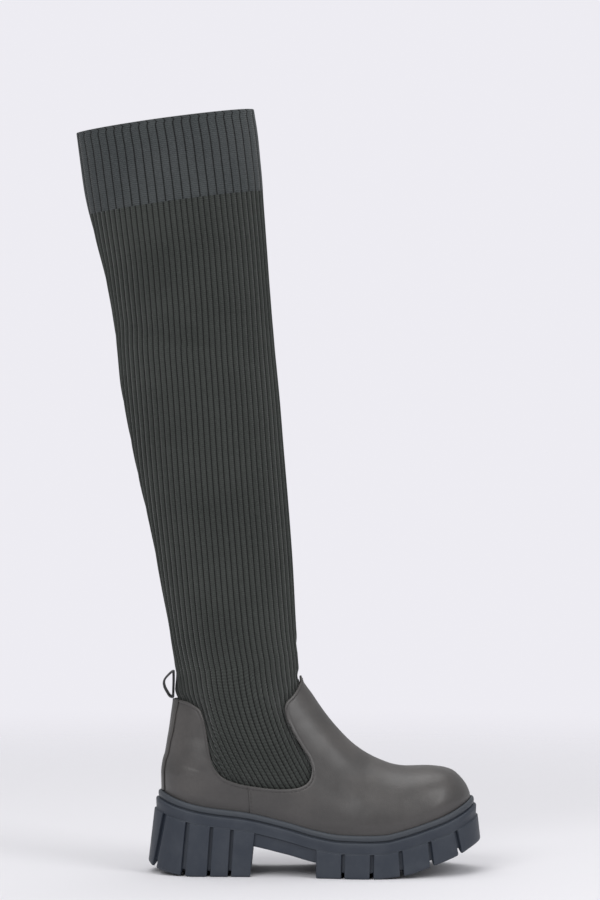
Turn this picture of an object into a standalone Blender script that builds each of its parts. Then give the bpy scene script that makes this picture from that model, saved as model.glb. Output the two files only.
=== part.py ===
"""Over-the-knee sock boot: a ribbed knitted shaft, a leather foot cut away at both sides, and a
lugged unit sole. Right foot, standing on its heel and forefoot. Metres, +Z up, +X to the toe.
The origin is on the floor, under the middle of the heel. -Y is the outer side of the foot."""

import math

import bmesh
import bpy
import numpy as np

# Sizes of the foot
LAST_LENGTH = 0.2575  # back of the counter to the toe tip, at the top of the rand
HEEL_BACK = 0.0478  # back of the counter behind the origin
BALL_WIDTH = 0.094  # upper, across the ball
HEEL_SEAT = 0.0685  # top of the rand above the floor, at the back
PLATFORM = 0.0352  # top of the rand above the floor, under the ball
TOE_SPRING = 0.0270  # how far the rand climbs from the ball to the toe tip
TOE_BOX = 0.0515  # toe box above the top of the rand at the ball
VAMP_TIP = 0.1634  # top of the vamp above the floor
COUNTER_TOP = 0.1446  # top of the counter above the floor
CUT_OUT_BOTTOM = 0.0717  # lowest point of the side cut-outs above the floor
# Sizes of the shaft
BOOT_HEIGHT = 0.6388  # front of the cuff above the floor
CUFF_DROP = 0.0201  # how much lower the cuff is at the back
CUFF_BAND = 0.068  # height of the denser knit at the top
SHAFT_LENGTH = 0.1496  # front to back at the top of the cuff
SHAFT_DEPTH = 0.068  # side to side at the knee
ANKLE_CENTRE = 0.0147  # middle of the ankle ahead of the origin
LEAN = 0.0609  # how far the middle of the cuff stands behind the ankle
# Sizes of the sole
RAND_HEIGHT = 0.0050
RAND_OUT = 0.0028  # rand beyond the upper
WALL_OUT = 0.0050  # top of the sole's side beyond the upper
LUG_STEP = 0.0013  # lugs proud of the recessed band
SIDE_FLARE = 0.0016  # bottom of the sole's side beyond its lug tops
HEEL_FLARE = 0.0034  # what the heel's back adds to that flare
TOE_FLARE = 0.0005  # what the toe tip adds to it
TOE_FLARE_START = 0.90  # share of LAST_LENGTH
BAND_HEIGHT = 0.0100  # recessed band between the rand and the lugs
HEEL_BREAST = 0.0300  # front face of the heel ahead of the origin, at its top
FORE_START = 0.0820  # back face of the first forefoot lug
HEEL_BEVEL = 0.0110  # how far the tread rises at the back of the heel
BEVEL_START = 0.0165  # where that rise starts, behind the origin
BEVEL_CURVE = 1.8  # 1 would be a straight bevel
BREAST_LEAN = -0.10  # lean of that face, forward over the height
WAIST_THICK = 0.0215  # sole under the arch, from its top down
GROOVE_WIDTH = 0.0027
GROOVE_DEPTH = 0.0032  # grooves into the sole's side
TREAD_DEPTH = 0.0045  # grooves into the tread
CUTTER_BELOW = 0.0100  # what cuts the tread reaches this far under the floor
# Walls and small pieces
LEATHER = 0.0018
KNIT = 0.0028
CUFF_STEP = 0.0006  # cuff proud of the shaft
VAMP_STEP = 0.0008  # vamp proud of the counter at the side seam
TUCK = 0.0080  # knit under the edge of the leather
INSOLE = 0.0030
STRIP_HALF_WIDTH = 0.0105
STRIP_THICK = 0.0012
LOOP_WIDTH = 0.0180
LOOP_HEIGHT = 0.0235
LOOP_DEPTH = 0.0098
LOOP_THICK = 0.0017
FEATHER_TUCK = 0.0014  # how far the upper pulls in at the rand
FEATHER_RISE = 0.0084  # height over which that fades
GAP = 0.0003  # between pieces that touch

LEATHER_ROWS = 11  # rings of the foot from the sole up to the edge of the leather
GORE_ROWS = 6
LEG_ROWS = 15  # from the ankle to the cuff
CUFF_ROWS = 4
STRIP_ROWS = 12
STRIP_COLUMNS = 9
STATIONS = 31  # points from back to front along each side of a ring
LINE_POINTS = 400  # points along a profile line
MOST_COVERED = 0.45  # most of the leather's height that may lie over knit, where it is low
BOW_REACH = 0.34  # how far into the foot's rings the curve of their ends reaches, as a share
SEAM_ALONG = 0.285  # side seam, as a share of LAST_LENGTH
SEAM_HALF = 0.0009  # half the width of the seam's step, as a share of a ring's side


def table(columns, *rows):
    """A table as a dict with one array for each named column."""
    return dict(zip(columns.split(), np.array(rows, float).T))


# Top of the rand, from back to front: shares of LAST_LENGTH, of the heel's rise, of TOE_SPRING
RAND = table(
    "along heel toe",
    (0.000, 1.00, 0.00),
    (0.053, 0.83, 0.00),
    (0.140, 0.66, 0.00),
    (0.277, 0.52, 0.00),
    (0.403, 0.30, 0.00),
    (0.503, 0.10, 0.00),
    (0.580, 0.01, 0.00),
    (0.670, 0.00, 0.00),
    (0.720, 0.00, 0.02),
    (0.768, 0.00, 0.12),
    (0.827, 0.00, 0.28),
    (0.913, 0.00, 0.56),
    (0.975, 0.00, 0.85),
    (1.000, 0.00, 1.00),
)

# Plan of the upper at the rand: half-width and middle line as shares of BALL_WIDTH
PLAN = table(
    "along half middle",
    (0.00, 0.325, 0.000),
    (0.12, 0.345, 0.000),
    (0.28, 0.350, -0.008),
    (0.42, 0.375, -0.020),
    (0.55, 0.440, -0.028),
    (0.68, 0.498, -0.015),
    (0.76, 0.496, 0.005),
    (0.86, 0.455, 0.035),
    (0.94, 0.415, 0.055),
    (1.00, 0.385, 0.065),
)

# Ridge from the toe tip to the vamp tip: share of LAST_LENGTH, of TOE_BOX and of the instep's rise,
# and how deep the section rounds off, as a share of BALL_WIDTH, with its bluntness
RIDGE = table(
    "along box instep round blunt",
    (0.990, 0.68, 0.000, 0.42, 2.3),
    (0.970, 0.82, 0.000, 0.42, 2.3),
    (0.941, 0.94, 0.000, 0.42, 2.3),
    (0.905, 0.99, 0.000, 0.42, 2.3),
    (0.855, 1.01, 0.000, 0.43, 2.3),
    (0.798, 1.00, 0.004, 0.46, 2.2),
    (0.752, 1.00, 0.024, 0.50, 2.1),
    (0.716, 1.00, 0.065, 0.54, 2.0),
    (0.667, 1.00, 0.143, 0.58, 1.9),
    (0.619, 1.00, 0.253, 0.60, 1.9),
    (0.572, 1.00, 0.407, 0.60, 1.9),
    (0.531, 1.00, 0.572, 0.58, 1.9),
    (0.488, 1.00, 0.780, 0.57, 1.9),
)

# Back of the counter: share of its height, and how far it leans in as a share of LAST_LENGTH
COUNTER = table(
    "up inward round blunt",
    (0.00, 0.000, 0.34, 2.0),
    (0.19, -0.001, 0.35, 2.0),
    (0.31, 0.003, 0.38, 2.0),
    (0.42, 0.012, 0.42, 2.0),
    (0.54, 0.018, 0.46, 2.0),
    (0.66, 0.024, 0.50, 1.9),
    (0.83, 0.031, 0.54, 1.9),
)

# Edge of the leather round a cut-out, from the counter's top to the vamp tip: place as a share of
# LAST_LENGTH, and height as a share from CUT_OUT_BOTTOM to the counter's top or the vamp tip. The
# line of the foot through each point starts on the rand at a share of LAST_LENGTH, and ends on the
# ankle at a share of its length.
EDGE = table(
    "along counter vamp rand ankle",
    (0.0390, 1.000, 0.000, 0.000, 0.000),
    (0.0770, 0.977, 0.000, 0.025, 0.050),
    (0.1020, 0.938, 0.000, 0.050, 0.100),
    (0.1220, 0.890, 0.000, 0.072, 0.150),
    (0.1330, 0.794, 0.000, 0.094, 0.195),
    (0.1415, 0.669, 0.000, 0.116, 0.230),
    (0.1520, 0.457, 0.000, 0.140, 0.260),
    (0.1630, 0.291, 0.000, 0.165, 0.290),
    (0.1795, 0.188, 0.000, 0.190, 0.320),
    (0.2080, 0.108, 0.000, 0.222, 0.350),
    (0.2790, 0.036, 0.000, 0.285, 0.390),
    (0.3850, 0.000, 0.000, 0.385, 0.430),
    (0.4300, 0.000, 0.009, 0.450, 0.455),
    (0.4650, 0.000, 0.046, 0.520, 0.475),
    (0.4814, 0.000, 0.105, 0.575, 0.495),
    (0.4860, 0.000, 0.174, 0.620, 0.520),
    (0.4780, 0.000, 0.264, 0.665, 0.545),
    (0.4520, 0.000, 0.381, 0.720, 0.575),
    (0.4200, 0.000, 0.532, 0.780, 0.640),
    (0.4020, 0.000, 0.649, 0.830, 0.720),
    (0.3977, 0.000, 0.721, 0.862, 0.780),
    (0.4020, 0.000, 0.773, 0.890, 0.830),
    (0.4200, 0.000, 0.825, 0.918, 0.880),
    (0.4380, 0.000, 0.890, 0.952, 0.920),
    (0.4490, 0.000, 0.960, 0.982, 0.962),
    (0.4520, 0.000, 1.000, 1.000, 1.000),
)

# Shaft from the ankle to the cuff: lean of its middle as a share of LEAN, length as a share of
# SHAFT_LENGTH, side to side as a share of SHAFT_DEPTH
SHAFT = table(
    "up lean length depth",
    (0.00, 0.000, 0.708, 0.94),
    (0.05, 0.019, 0.689, 0.90),
    (0.10, 0.057, 0.703, 0.85),
    (0.20, 0.148, 0.744, 0.78),
    (0.30, 0.251, 0.781, 0.77),
    (0.40, 0.373, 0.827, 0.81),
    (0.50, 0.483, 0.864, 0.88),
    (0.56, 0.547, 0.878, 0.93),
    (0.62, 0.590, 0.879, 0.97),
    (0.68, 0.640, 0.889, 1.00),
    (0.75, 0.713, 0.916, 1.00),
    (0.82, 0.803, 0.957, 0.96),
    (0.90, 0.899, 0.997, 0.90),
    (0.96, 0.955, 1.004, 0.86),
    (1.00, 1.000, 1.000, 0.84),
)
FRONT_BLUNT = 2.0
BACK_BLUNT = 1.8  # the seam pinches the back of the shaft

# Soft folds of the shaft: height as a share of the shaft, place from back to front as a share of a
# ring, rise towards the front, depth in metres, reach up and along as shares
FOLDS = table(
    "up along rise depth tall wide",
    (0.615, 0.42, -0.10, 0.0026, 0.020, 0.22),
    (0.655, 0.30, -0.06, -0.0016, 0.025, 0.20),
    (0.560, 0.86, 0.00, 0.0012, 0.080, 0.07),
)

# Grooves between the lugs, at their tops: share of LAST_LENGTH, and lean forward over the height
GROOVES = table(
    "along lean",
    (0.028, -0.095),
    (0.092, -0.058),
    (0.163, -0.066),
    (0.229, -0.056),
    (0.589, -0.005),
    (0.676, -0.030),
    (0.764, 0.055),
    (0.855, 0.080),
    (0.933, 0.120),
)

# Side of the sole from its top down: place as a share of the band or of the lugs under it, how far
# out, and shares of the lug step and of the flare
SIDE = table(
    "band lug out step flare",
    (0.00, 0.00, 0.72, 0.0, 0.0),
    (0.12, 0.00, 1.00, 0.0, 0.0),
    (0.93, 0.00, 0.94, 0.0, 0.0),
    (1.00, 0.00, 1.00, 1.0, 0.0),
    (1.00, 0.45, 1.00, 1.0, 0.5),
    (1.00, 0.93, 1.00, 1.0, 1.0),
    (1.00, 1.00, 0.80, 1.0, 0.8),
)

# Section of the rand: shares of RAND_HEIGHT and RAND_OUT, outwards from the upper and back to it
RAND_SIDE = table(
    "up out",
    (0.00, 1.00),
    (0.75, 1.00),
    (1.00, 0.75),
)

# Bulge of the pull loop from its bottom up: shares of LOOP_HEIGHT and LOOP_DEPTH
LOOP_BULGE = table(
    "up out",
    (0.00, 0.00),
    (0.04, 0.30),
    (0.20, 0.62),
    (0.42, 0.93),
    (0.55, 1.00),
    (0.66, 0.95),
    (0.85, 0.55),
    (0.97, 0.18),
    (1.00, 0.00),
)

# Tread under the forefoot: share of LAST_LENGTH, and rise as a share of TOE_SPRING
TREAD = table(
    "along rise",
    (0.700, 0.00),
    (0.780, 0.11),
    (0.850, 0.33),
    (0.930, 0.64),
    (0.980, 0.88),
    (1.030, 1.10),
)

# Colour, roughness of each piece
FINISH = {
    "outsole": ((0.027, 0.034, 0.048), 0.55),
    "welt": ((0.045, 0.053, 0.064), 0.50),
    "insole": ((0.030, 0.028, 0.027), 0.90),
    "upper": ((0.070, 0.068, 0.068), 0.38),
    "back_strip": ((0.060, 0.058, 0.058), 0.42),
    "pull_loop": ((0.015, 0.015, 0.016), 0.70),
    "shaft": ((0.030, 0.031, 0.029), 0.92),
}

LEG_BACK = BOOT_HEIGHT - CUFF_DROP - COUNTER_TOP
LEG_FRONT = BOOT_HEIGHT - VAMP_TIP
CUFF_START = 1 - CUFF_BAND / LEG_BACK
ANKLE_START = 0.04  # first level ring of the shaft, as a share of its height


def smooth(x, known_x, known_y):
    """A monotone cubic through the known points, held level beyond them."""
    x = np.asarray(x, float)
    step = np.diff(known_x)
    slope = np.diff(known_y) / step
    tangent = np.zeros(len(known_x))
    tangent[0], tangent[-1] = slope[0], slope[-1]
    left, right = slope[:-1], slope[1:]
    same = left * right > 0
    weight_left = 2 * step[1:] + step[:-1]
    weight_right = step[1:] + 2 * step[:-1]
    total = weight_left / np.where(same, left, 1) + weight_right / np.where(same, right, 1)
    tangent[1:-1] = np.where(same, (weight_left + weight_right) / np.where(same, total, 1), 0)
    i = np.clip(np.searchsorted(known_x, x, side="right") - 1, 0, len(known_x) - 2)
    t = np.clip((x - np.take(known_x, i)) / step[i], 0, 1)
    ahead = 1 - t
    start = (1 + 2 * t) * ahead**2 * np.take(known_y, i) + t * ahead**2 * step[i] * tangent[i]
    end = t**2 * (3 - 2 * t) * np.take(known_y, i + 1) - t**2 * ahead * step[i] * tangent[i + 1]
    return start + end


def ease(t):
    """0 to 1, smooth at both ends."""
    t = np.clip(t, 0, 1)
    return t * t * (3 - 2 * t)


def place(along):
    """X of a share of the last's length."""
    return np.asarray(along) * LAST_LENGTH - HEEL_BACK


def share(x):
    return (np.asarray(x) + HEEL_BACK) / LAST_LENGTH


def rand_top(x):
    heel = smooth(share(x), RAND["along"], RAND["heel"])
    toe = smooth(share(x), RAND["along"], RAND["toe"])
    return PLATFORM + heel * (HEEL_SEAT - PLATFORM) + toe * TOE_SPRING


def sole_top(x):
    return rand_top(x) - RAND_HEIGHT


def tread(x):
    """Underside of the sole where it meets the floor, bevelled at the heel and sprung at the toe."""
    sprung = smooth(share(x), TREAD["along"], TREAD["rise"]) * TOE_SPRING
    behind = np.maximum(-BEVEL_START - np.asarray(x), 0) / (HEEL_BACK + WALL_OUT - BEVEL_START)
    return sprung + HEEL_BEVEL * behind**BEVEL_CURVE


def shaft_end(up, side):
    """Side-view point of the shaft's back (-1) or front (1) at a share of its height."""
    middle = ANKLE_CENTRE - LEAN * smooth(up, SHAFT["up"], SHAFT["lean"])
    half = SHAFT_LENGTH / 2 * smooth(up, SHAFT["up"], SHAFT["length"])
    if side < 0:
        return np.stack([middle - half, COUNTER_TOP + np.asarray(up) * LEG_BACK], -1)
    return np.stack([middle + half, VAMP_TIP + np.asarray(up) * LEG_FRONT], -1)


def half_length(up):
    return SHAFT_LENGTH / 2 * smooth(up, SHAFT["up"], SHAFT["length"])


def outline(side):
    """The back or front profile from the sole up: points with the depth and bluntness of the
    rounding behind each, four columns."""
    up = np.linspace(0, 1, 2 * len(SHAFT["up"]))
    leg = shaft_end(up, side)
    blunt = FRONT_BLUNT if side > 0 else BACK_BLUNT
    leg = np.column_stack([leg, half_length(up), np.full(len(up), blunt)])
    leg = np.vstack([leg, leg[-1] + [0, CUFF_DROP, 0, 0]])
    if side > 0:
        x = place(RIDGE["along"])
        rise = VAMP_TIP - PLATFORM - TOE_BOX
        z = PLATFORM + RIDGE["box"] * TOE_BOX + RIDGE["instep"] * rise
        tip = place(1.0)
        low = [[tip, sole_top(tip) - RAND_HEIGHT], [tip, rand_top(tip)]]
        deep, blunt = RIDGE["round"], RIDGE["blunt"]
    else:
        x = place(COUNTER["inward"])
        z = HEEL_SEAT + COUNTER["up"] * (COUNTER_TOP - HEEL_SEAT)
        low = [[x[0], sole_top(x[0]) - RAND_HEIGHT]]
        deep, blunt = COUNTER["round"], COUNTER["blunt"]
    low = [[*point, deep[0] * BALL_WIDTH, blunt[0]] for point in low]
    foot = np.column_stack([x, z, deep * BALL_WIDTH, blunt])
    knots = np.vstack([low, foot, leg])
    gone = np.concatenate([[0], np.cumsum(np.hypot(*np.diff(knots[:, :2], axis=0).T))])
    at = np.linspace(0, gone[-1], LINE_POINTS)
    return np.column_stack([smooth(at, gone, knots[:, i]) for i in range(4)])


BACK_LINE = outline(-1)
FRONT_LINE = outline(1)


def rounding(points, line):
    """1 well inside a profile line, falling to 0 on it as a round section does."""
    start, end = line[:-1], line[1:]
    run = (end - start)[:, :2]
    offset = points[:, None, :] - start[None, :, :2]
    t = np.clip((offset * run).sum(-1) / (run * run).sum(-1), 0, 1)
    apart = np.hypot(*np.moveaxis(offset - t[..., None] * run, -1, 0))
    nearest = apart.argmin(1)
    rows = np.arange(len(points))
    t = t[rows, nearest][:, None]
    deep, blunt = (start[nearest, 2:] * (1 - t) + end[nearest, 2:] * t).T
    left = np.clip(1 - apart[rows, nearest] / deep, 0, 1)
    return (1 - left**blunt) ** (1 / blunt)


def shaft_share(x, z):
    """Height of a side-view point in the shaft, 0 at the line from counter to vamp tip."""
    across = (np.asarray(x) - (ANKLE_CENTRE - half_length(0))) / (2 * half_length(0))
    low = COUNTER_TOP + across * (VAMP_TIP - COUNTER_TOP)
    top_back = ANKLE_CENTRE - LEAN - half_length(1)
    top_across = (np.asarray(x) - top_back) / (2 * half_length(1))
    high = BOOT_HEIGHT - CUFF_DROP + top_across * CUFF_DROP
    return (z - low) / (high - low)


def fold_depth(up, along):
    """How far the folds push the shaft in."""
    depth = np.zeros(np.shape(up))
    for i in range(len(FOLDS["up"])):
        off = up - FOLDS["up"][i] - FOLDS["rise"][i] * (along - FOLDS["along"][i])
        beside = (along - FOLDS["along"][i]) / FOLDS["wide"][i]
        depth += FOLDS["depth"][i] * np.exp(-((off / FOLDS["tall"][i]) ** 2) - beside**2)
    return depth


def form(side_view):
    """Half-width and middle line of the boot at side-view points, shape (rows, stations, 2)."""
    flat = side_view.reshape(-1, 2)
    x, z = flat.T
    along = share(x)
    floor_line = rand_top(x)
    ankle_line = np.interp(along, EDGE["along"][[0, -1]], [COUNTER_TOP, VAMP_TIP])
    rise = ease((z - floor_line) / (ankle_line - floor_line))
    up = np.clip(shaft_share(x, z), 0, 1)
    foot = BALL_WIDTH * smooth(along, PLAN["along"], PLAN["half"])
    leg = SHAFT_DEPTH / 2 * smooth(up, SHAFT["up"], SHAFT["depth"])
    half = foot * (1 - rise) + leg * rise
    half -= FEATHER_TUCK * (1 - ease((z - floor_line - GAP) / FEATHER_RISE))
    closed = rounding(flat, BACK_LINE) * rounding(flat, FRONT_LINE)
    back, front = shaft_end(up, -1)[:, 0], shaft_end(up, 1)[:, 0]
    folds = fold_depth(up, (x - back) / (front - back)) * closed
    middle = BALL_WIDTH * smooth(along, PLAN["along"], PLAN["middle"]) * (1 - rise)
    shape = side_view.shape[:2]
    return (half * closed - folds).reshape(shape), middle.reshape(shape)


def skin(side_view):
    """Closed rings of 3-D points over a side-view grid: back, outer side, front, inner side."""
    half, middle = form(side_view)
    half[:, [0, -1]] = 0
    outer = np.stack([side_view[..., 0], middle - half, side_view[..., 1]], -1)
    inner = np.stack([side_view[..., 0], middle + half, side_view[..., 1]], -1)
    return np.concatenate([outer, inner[:, -2:0:-1]], 1)


def normals(grid):
    """Outward unit normals of closed rings stacked upwards."""
    around = np.roll(grid, -1, 1) - np.roll(grid, 1, 1)
    upward = np.gradient(grid, axis=0)
    out = np.cross(around, upward)
    out /= np.linalg.norm(out, axis=-1, keepdims=True)
    return out


def moved(grid, distance):
    """The rings moved along their normals by a distance, or one for each ring or point."""
    distance = np.asarray(distance, float)
    while distance.ndim < 2:
        distance = distance[..., None]
    return grid + normals(grid) * distance[..., None]


def filled(bottom, top, back, front):
    """A grid of side-view points between four border curves. The bow of the back and of the front
    fades out towards the middle."""
    v = np.linspace(0, 1, len(back))[:, None, None]
    ruled = (1 - v) * bottom[None] + v * top[None]
    back_bow = back[:, None] - ruled[:, :1]
    front_bow = front[:, None] - ruled[:, -1:]
    at_back = ease(1 - U / BOW_REACH)[None, :, None]
    at_front = ease((U - 1 + BOW_REACH) / BOW_REACH)[None, :, None]
    return ruled + at_back * back_bow + at_front * front_bow


def stations():
    """Shares from back to front, closer at both ends, with a close pair at the side seam."""
    count = STATIONS - 1
    u = (1 - np.cos(np.pi * np.arange(count) / (count - 1))) / 2
    seam = smooth(SEAM_ALONG, EDGE["rand"], edge_shares())
    near = np.abs(u - seam).argmin()
    return np.concatenate([u[:near], [seam - SEAM_HALF, seam + SEAM_HALF], u[near + 1 :]])


def edge_points():
    x = place(EDGE["along"])
    z = CUT_OUT_BOTTOM + EDGE["counter"] * (COUNTER_TOP - CUT_OUT_BOTTOM)
    z = z + EDGE["vamp"] * (VAMP_TIP - CUT_OUT_BOTTOM)
    return np.column_stack([x, z])


def edge_shares():
    """Where each row of EDGE stands between back and front, by the lengths of edge and rand."""
    edge = np.hypot(*np.diff(edge_points(), axis=0).T)
    rand = np.diff(EDGE["rand"]) * LAST_LENGTH
    gone = np.concatenate([[0], np.cumsum(edge + rand)])
    return gone / gone[-1]


U = stations()
SEAM = int(np.abs(U - smooth(SEAM_ALONG, EDGE["rand"], edge_shares())).argmin())


def cut_edge():
    """Side-view edge of the leather at each station."""
    points = edge_points()
    points[0] = shaft_end(0, -1)
    points[-1] = shaft_end(0, 1)
    return np.column_stack([smooth(U, edge_shares(), points[:, i]) for i in range(2)])


def rand_line(height):
    """Side-view line along the rand at each station, at a function of x."""
    x = place(smooth(U, edge_shares(), EDGE["rand"]))
    return np.column_stack([x, height(x)])


def profile(line, low, high, count):
    """Part of a profile line between two side-view points."""
    first = np.hypot(*(line[:, :2] - low).T).argmin()
    last = np.hypot(*(line[:, :2] - high).T).argmin()
    part = line[first : last + 1, :2].copy()
    part[0], part[-1] = low, high
    gone = np.concatenate([[0], np.cumsum(np.hypot(*np.diff(part, axis=0).T))])
    at = np.linspace(0, gone[-1], count)
    return np.column_stack([np.interp(at, gone, part[:, i]) for i in range(2)])


def leather_grid():
    """Rings of the foot: one on the sole, one at the top of the rand, and up to the cut edge. The
    last three lie over the knit."""
    low = rand_line(lambda x: sole_top(x) + GAP)
    rand = rand_line(lambda x: rand_top(x) + GAP)
    edge = cut_edge()
    count = 3 * LEATHER_ROWS
    back = profile(BACK_LINE, rand[0], edge[0], count)
    front = profile(FRONT_LINE, rand[-1], edge[-1], count)
    fine = filled(rand, edge, back, front)
    tall = np.linalg.norm(np.diff(fine, axis=0), axis=-1).sum(0)
    covered = np.clip(TUCK / tall, 0, MOST_COVERED)
    at = [part * (1 - covered) for part in np.linspace(0, 1, LEATHER_ROWS - 3)]
    at = np.array(at + [1 - covered / 2, np.ones(len(U))]) * (count - 1)
    below = np.minimum(at.astype(int), count - 2)
    part = (at - below)[..., None]
    column = np.arange(len(U))[None]
    rows = fine[below, column] * (1 - part) + fine[below + 1, column] * part
    return np.concatenate([low[None], rows])


FOOT_GRID = leather_grid()
BASE_RING = skin(FOOT_GRID)[0]  # outline of the upper where it stands on the sole


def vamp_step(count):
    """Outward step of the vamp at each point of a ring."""
    front = np.zeros(len(U))
    front[SEAM:] = VAMP_STEP
    return np.tile(np.concatenate([front, front[-2:0:-1]]), (count, 1))


def new_object(name, vertices, faces, collection):
    mesh = bpy.data.meshes.new(name)
    mesh.from_pydata([tuple(map(float, point)) for point in vertices], [], faces)
    shaped = bmesh.new()
    shaped.from_mesh(mesh)
    bmesh.ops.recalc_face_normals(shaped, faces=shaped.faces)
    shaped.to_mesh(mesh)
    shaped.free()
    mesh.shade_smooth()
    mesh.set_sharp_from_angle(angle=math.radians(35))
    made = bpy.data.objects.new(name, mesh)
    collection.objects.link(made)
    return made


def lofted(name, rings, collection, closed):
    """Quads between rings of points. Closed joins the last ring to the first, and otherwise each
    end is filled by a ladder of faces from one side of the boot to the other."""
    count, around = rings.shape[:2]
    faces = []
    for row in range(count if closed else count - 1):
        above = (row + 1) % count
        for i in range(around):
            j = (i + 1) % around
            faces.append((row * around + i, row * around + j, above * around + j, above * around + i))
    if not closed:
        for base in (0, (count - 1) * around):
            for i in range(around // 2):
                corners = [i, i + 1, (around - i - 1) % around, (around - i) % around]
                faces.append([base + k for k in dict.fromkeys(corners)])
    return new_object(name, rings.reshape(-1, 3), faces, collection)


def shell(name, outer, inner, collection):
    """A wall between two stacks of rings, open at its top and bottom."""
    return lofted(name, np.concatenate([outer, inner[::-1]]), collection, closed=True)


def level(ring, rise):
    """The ring with each point at its station's height on the sole, and a rise."""
    placed = ring.copy()
    placed[:, 2] = BASE_RING[:, 2] + rise
    return placed


def leather_faces():
    """Outer and inner rings of the leather foot, standing on the sole."""
    grid = skin(FOOT_GRID)
    step = vamp_step(len(grid))
    outer, inner = moved(grid, step), moved(grid, step - LEATHER)
    outer[0] = level(outer[0], 0.0)
    inner[0] = level(inner[0], 0.0)
    return outer, inner


def make_upper(collection):
    return shell("upper", *leather_faces(), collection)


def under_leather(grid, margin):
    """1 where the knit lies under the leather, easing to 0 away from the cut edge."""
    edge = cut_edge()
    start, run = edge[:-1], np.diff(edge, axis=0)
    offset = grid[:, :, None] - start
    t = np.clip((offset * run).sum(-1) / (run * run).sum(-1), 0, 1)
    apart = np.hypot(*np.moveaxis(offset - t[..., None] * run, -1, 0)).min(-1)
    apart[:margin] = 0
    return 1 - ease(apart / TUCK)


def make_shaft(collection):
    margin = FOOT_GRID[-3:]
    at_ankle = smooth(U, edge_shares(), EDGE["ankle"])
    ankle_back, ankle_front = shaft_end(ANKLE_START, -1), shaft_end(ANKLE_START, 1)
    ankle = ankle_back + np.outer(at_ankle, ankle_front - ankle_back)
    sides = [shaft_end(np.linspace(0, ANKLE_START, GORE_ROWS), side) for side in (-1, 1)]
    gore = filled(cut_edge(), ankle, *sides)[1:]
    step_up = CUFF_START + 1.5 * CUFF_STEP / LEG_BACK
    leg_up = np.linspace(ANKLE_START, CUFF_START, LEG_ROWS)[1:]
    up = np.concatenate([leg_up, np.linspace(step_up, 1, CUFF_ROWS)])
    back, front = shaft_end(up, -1)[:, None], shaft_end(up, 1)[:, None]
    across = (at_ankle + np.outer(up, U - at_ankle))[..., None]
    leg = back * (1 - across) + front * across
    grid = np.concatenate([margin, gore, leg])
    raised = np.zeros(len(grid))
    raised[-np.sum(up >= step_up) :] = CUFF_STEP
    sunk = (LEATHER + GAP) * under_leather(grid, len(margin))
    sunk = np.concatenate([sunk, sunk[:, -2:0:-1]], 1)
    rings = skin(grid)
    outer = moved(rings, raised[:, None] - sunk)
    return shell("shaft", outer, moved(rings, -sunk - KNIT), collection)


def plan_offset(ring, out):
    """Ring of points moved outwards in plan."""
    around = np.roll(ring, -1, 0) - np.roll(ring, 1, 0)
    normal = np.column_stack([around[:, 1], -around[:, 0], np.zeros(len(ring))])
    normal /= np.linalg.norm(normal, axis=1, keepdims=True)
    return ring + normal * np.asarray(out).reshape(-1, 1)


def rand_ring(out):
    """Outline of the upper at the sole without the step of its seam, moved outwards."""
    return level(plan_offset(BASE_RING, out + VAMP_STEP), 0.0)


def make_welt(collection):
    against = plan_offset(leather_faces()[0][0], GAP)
    section = zip(RAND_SIDE["up"], RAND_SIDE["out"])
    side = [level(rand_ring(out * RAND_OUT), up * RAND_HEIGHT) for up, out in section]
    rings = [level(against, 0.0), *side, level(against, RAND_HEIGHT)]
    return lofted("welt", np.stack(rings), collection, closed=True)


def make_insole(collection):
    wall = leather_faces()[1]
    half = len(U)
    low = plan_offset(wall[0], -GAP)
    low[:, 2] = np.interp(low[:, 0], BASE_RING[:half, 0], BASE_RING[:half, 2])
    high = wall[0].copy()
    for i in range(len(high)):
        top = wall[0, i, 2] + INSOLE + GAP
        high[i] = [np.interp(top, wall[:, i, 2], wall[:, i, axis]) for axis in range(3)]
    high = plan_offset(high, -GAP)
    high[:, 2] = low[:, 2] + INSOLE
    return lofted("insole", np.stack([low, high]), collection, closed=False)


def side_rings(recess):
    """Rings of the sole from the foot bed out and down its side to the tread, moved in by a recess."""
    behind = ease((-BASE_RING[:, 0] - BEVEL_START) / (HEEL_BACK - BEVEL_START))
    ahead = ease((share(BASE_RING[:, 0]) - TOE_FLARE_START) / (1 - TOE_FLARE_START))
    flare = SIDE_FLARE + HEEL_FLARE * behind + TOE_FLARE * ahead
    rings = [level(BASE_RING, -GAP)]
    for i in range(len(SIDE["band"])):
        out = WALL_OUT * SIDE["out"][i] + LUG_STEP * SIDE["step"][i] + flare * SIDE["flare"][i]
        ring = level(rand_ring(out - recess), -GAP)
        ring[:, 2] -= SIDE["band"][i] * BAND_HEIGHT
        ring[:, 2] -= SIDE["lug"][i] * (ring[:, 2] - tread(ring[:, 0]))
        rings.append(ring)
    return np.array(rings)


def hidden(made):
    made.hide_render = True
    made.display_type = "WIRE"
    return made


def core(name, recess, underside, cutters):
    """The sole that stays where a groove or the waist is cut."""
    rings = side_rings(recess)[1:3]
    rings[0, :, 2] += RAND_HEIGHT
    rings[1, :, 2] = underside(rings[1, :, 0])
    return hidden(lofted(name, rings, cutters, closed=False))


def block(name, corners, cutters):
    """A block right across the sole, from its corners in side view."""
    sides = [[(x, side * BALL_WIDTH, z) for x, z in corners] for side in (-1, 1)]
    return hidden(lofted(name, np.array(sides, float), cutters, closed=False))


def boolean(made, cutter):
    cut = made.modifiers.new(cutter.name, "BOOLEAN")
    cut.operation = "DIFFERENCE"
    cut.solver = "EXACT"
    cut.object = cutter


def leant(x, top, lean):
    """Side-view ends of a line from a point down through the floor, leaning forwards."""
    return (x, top), (x + lean * (top + CUTTER_BELOW), -CUTTER_BELOW)


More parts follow.
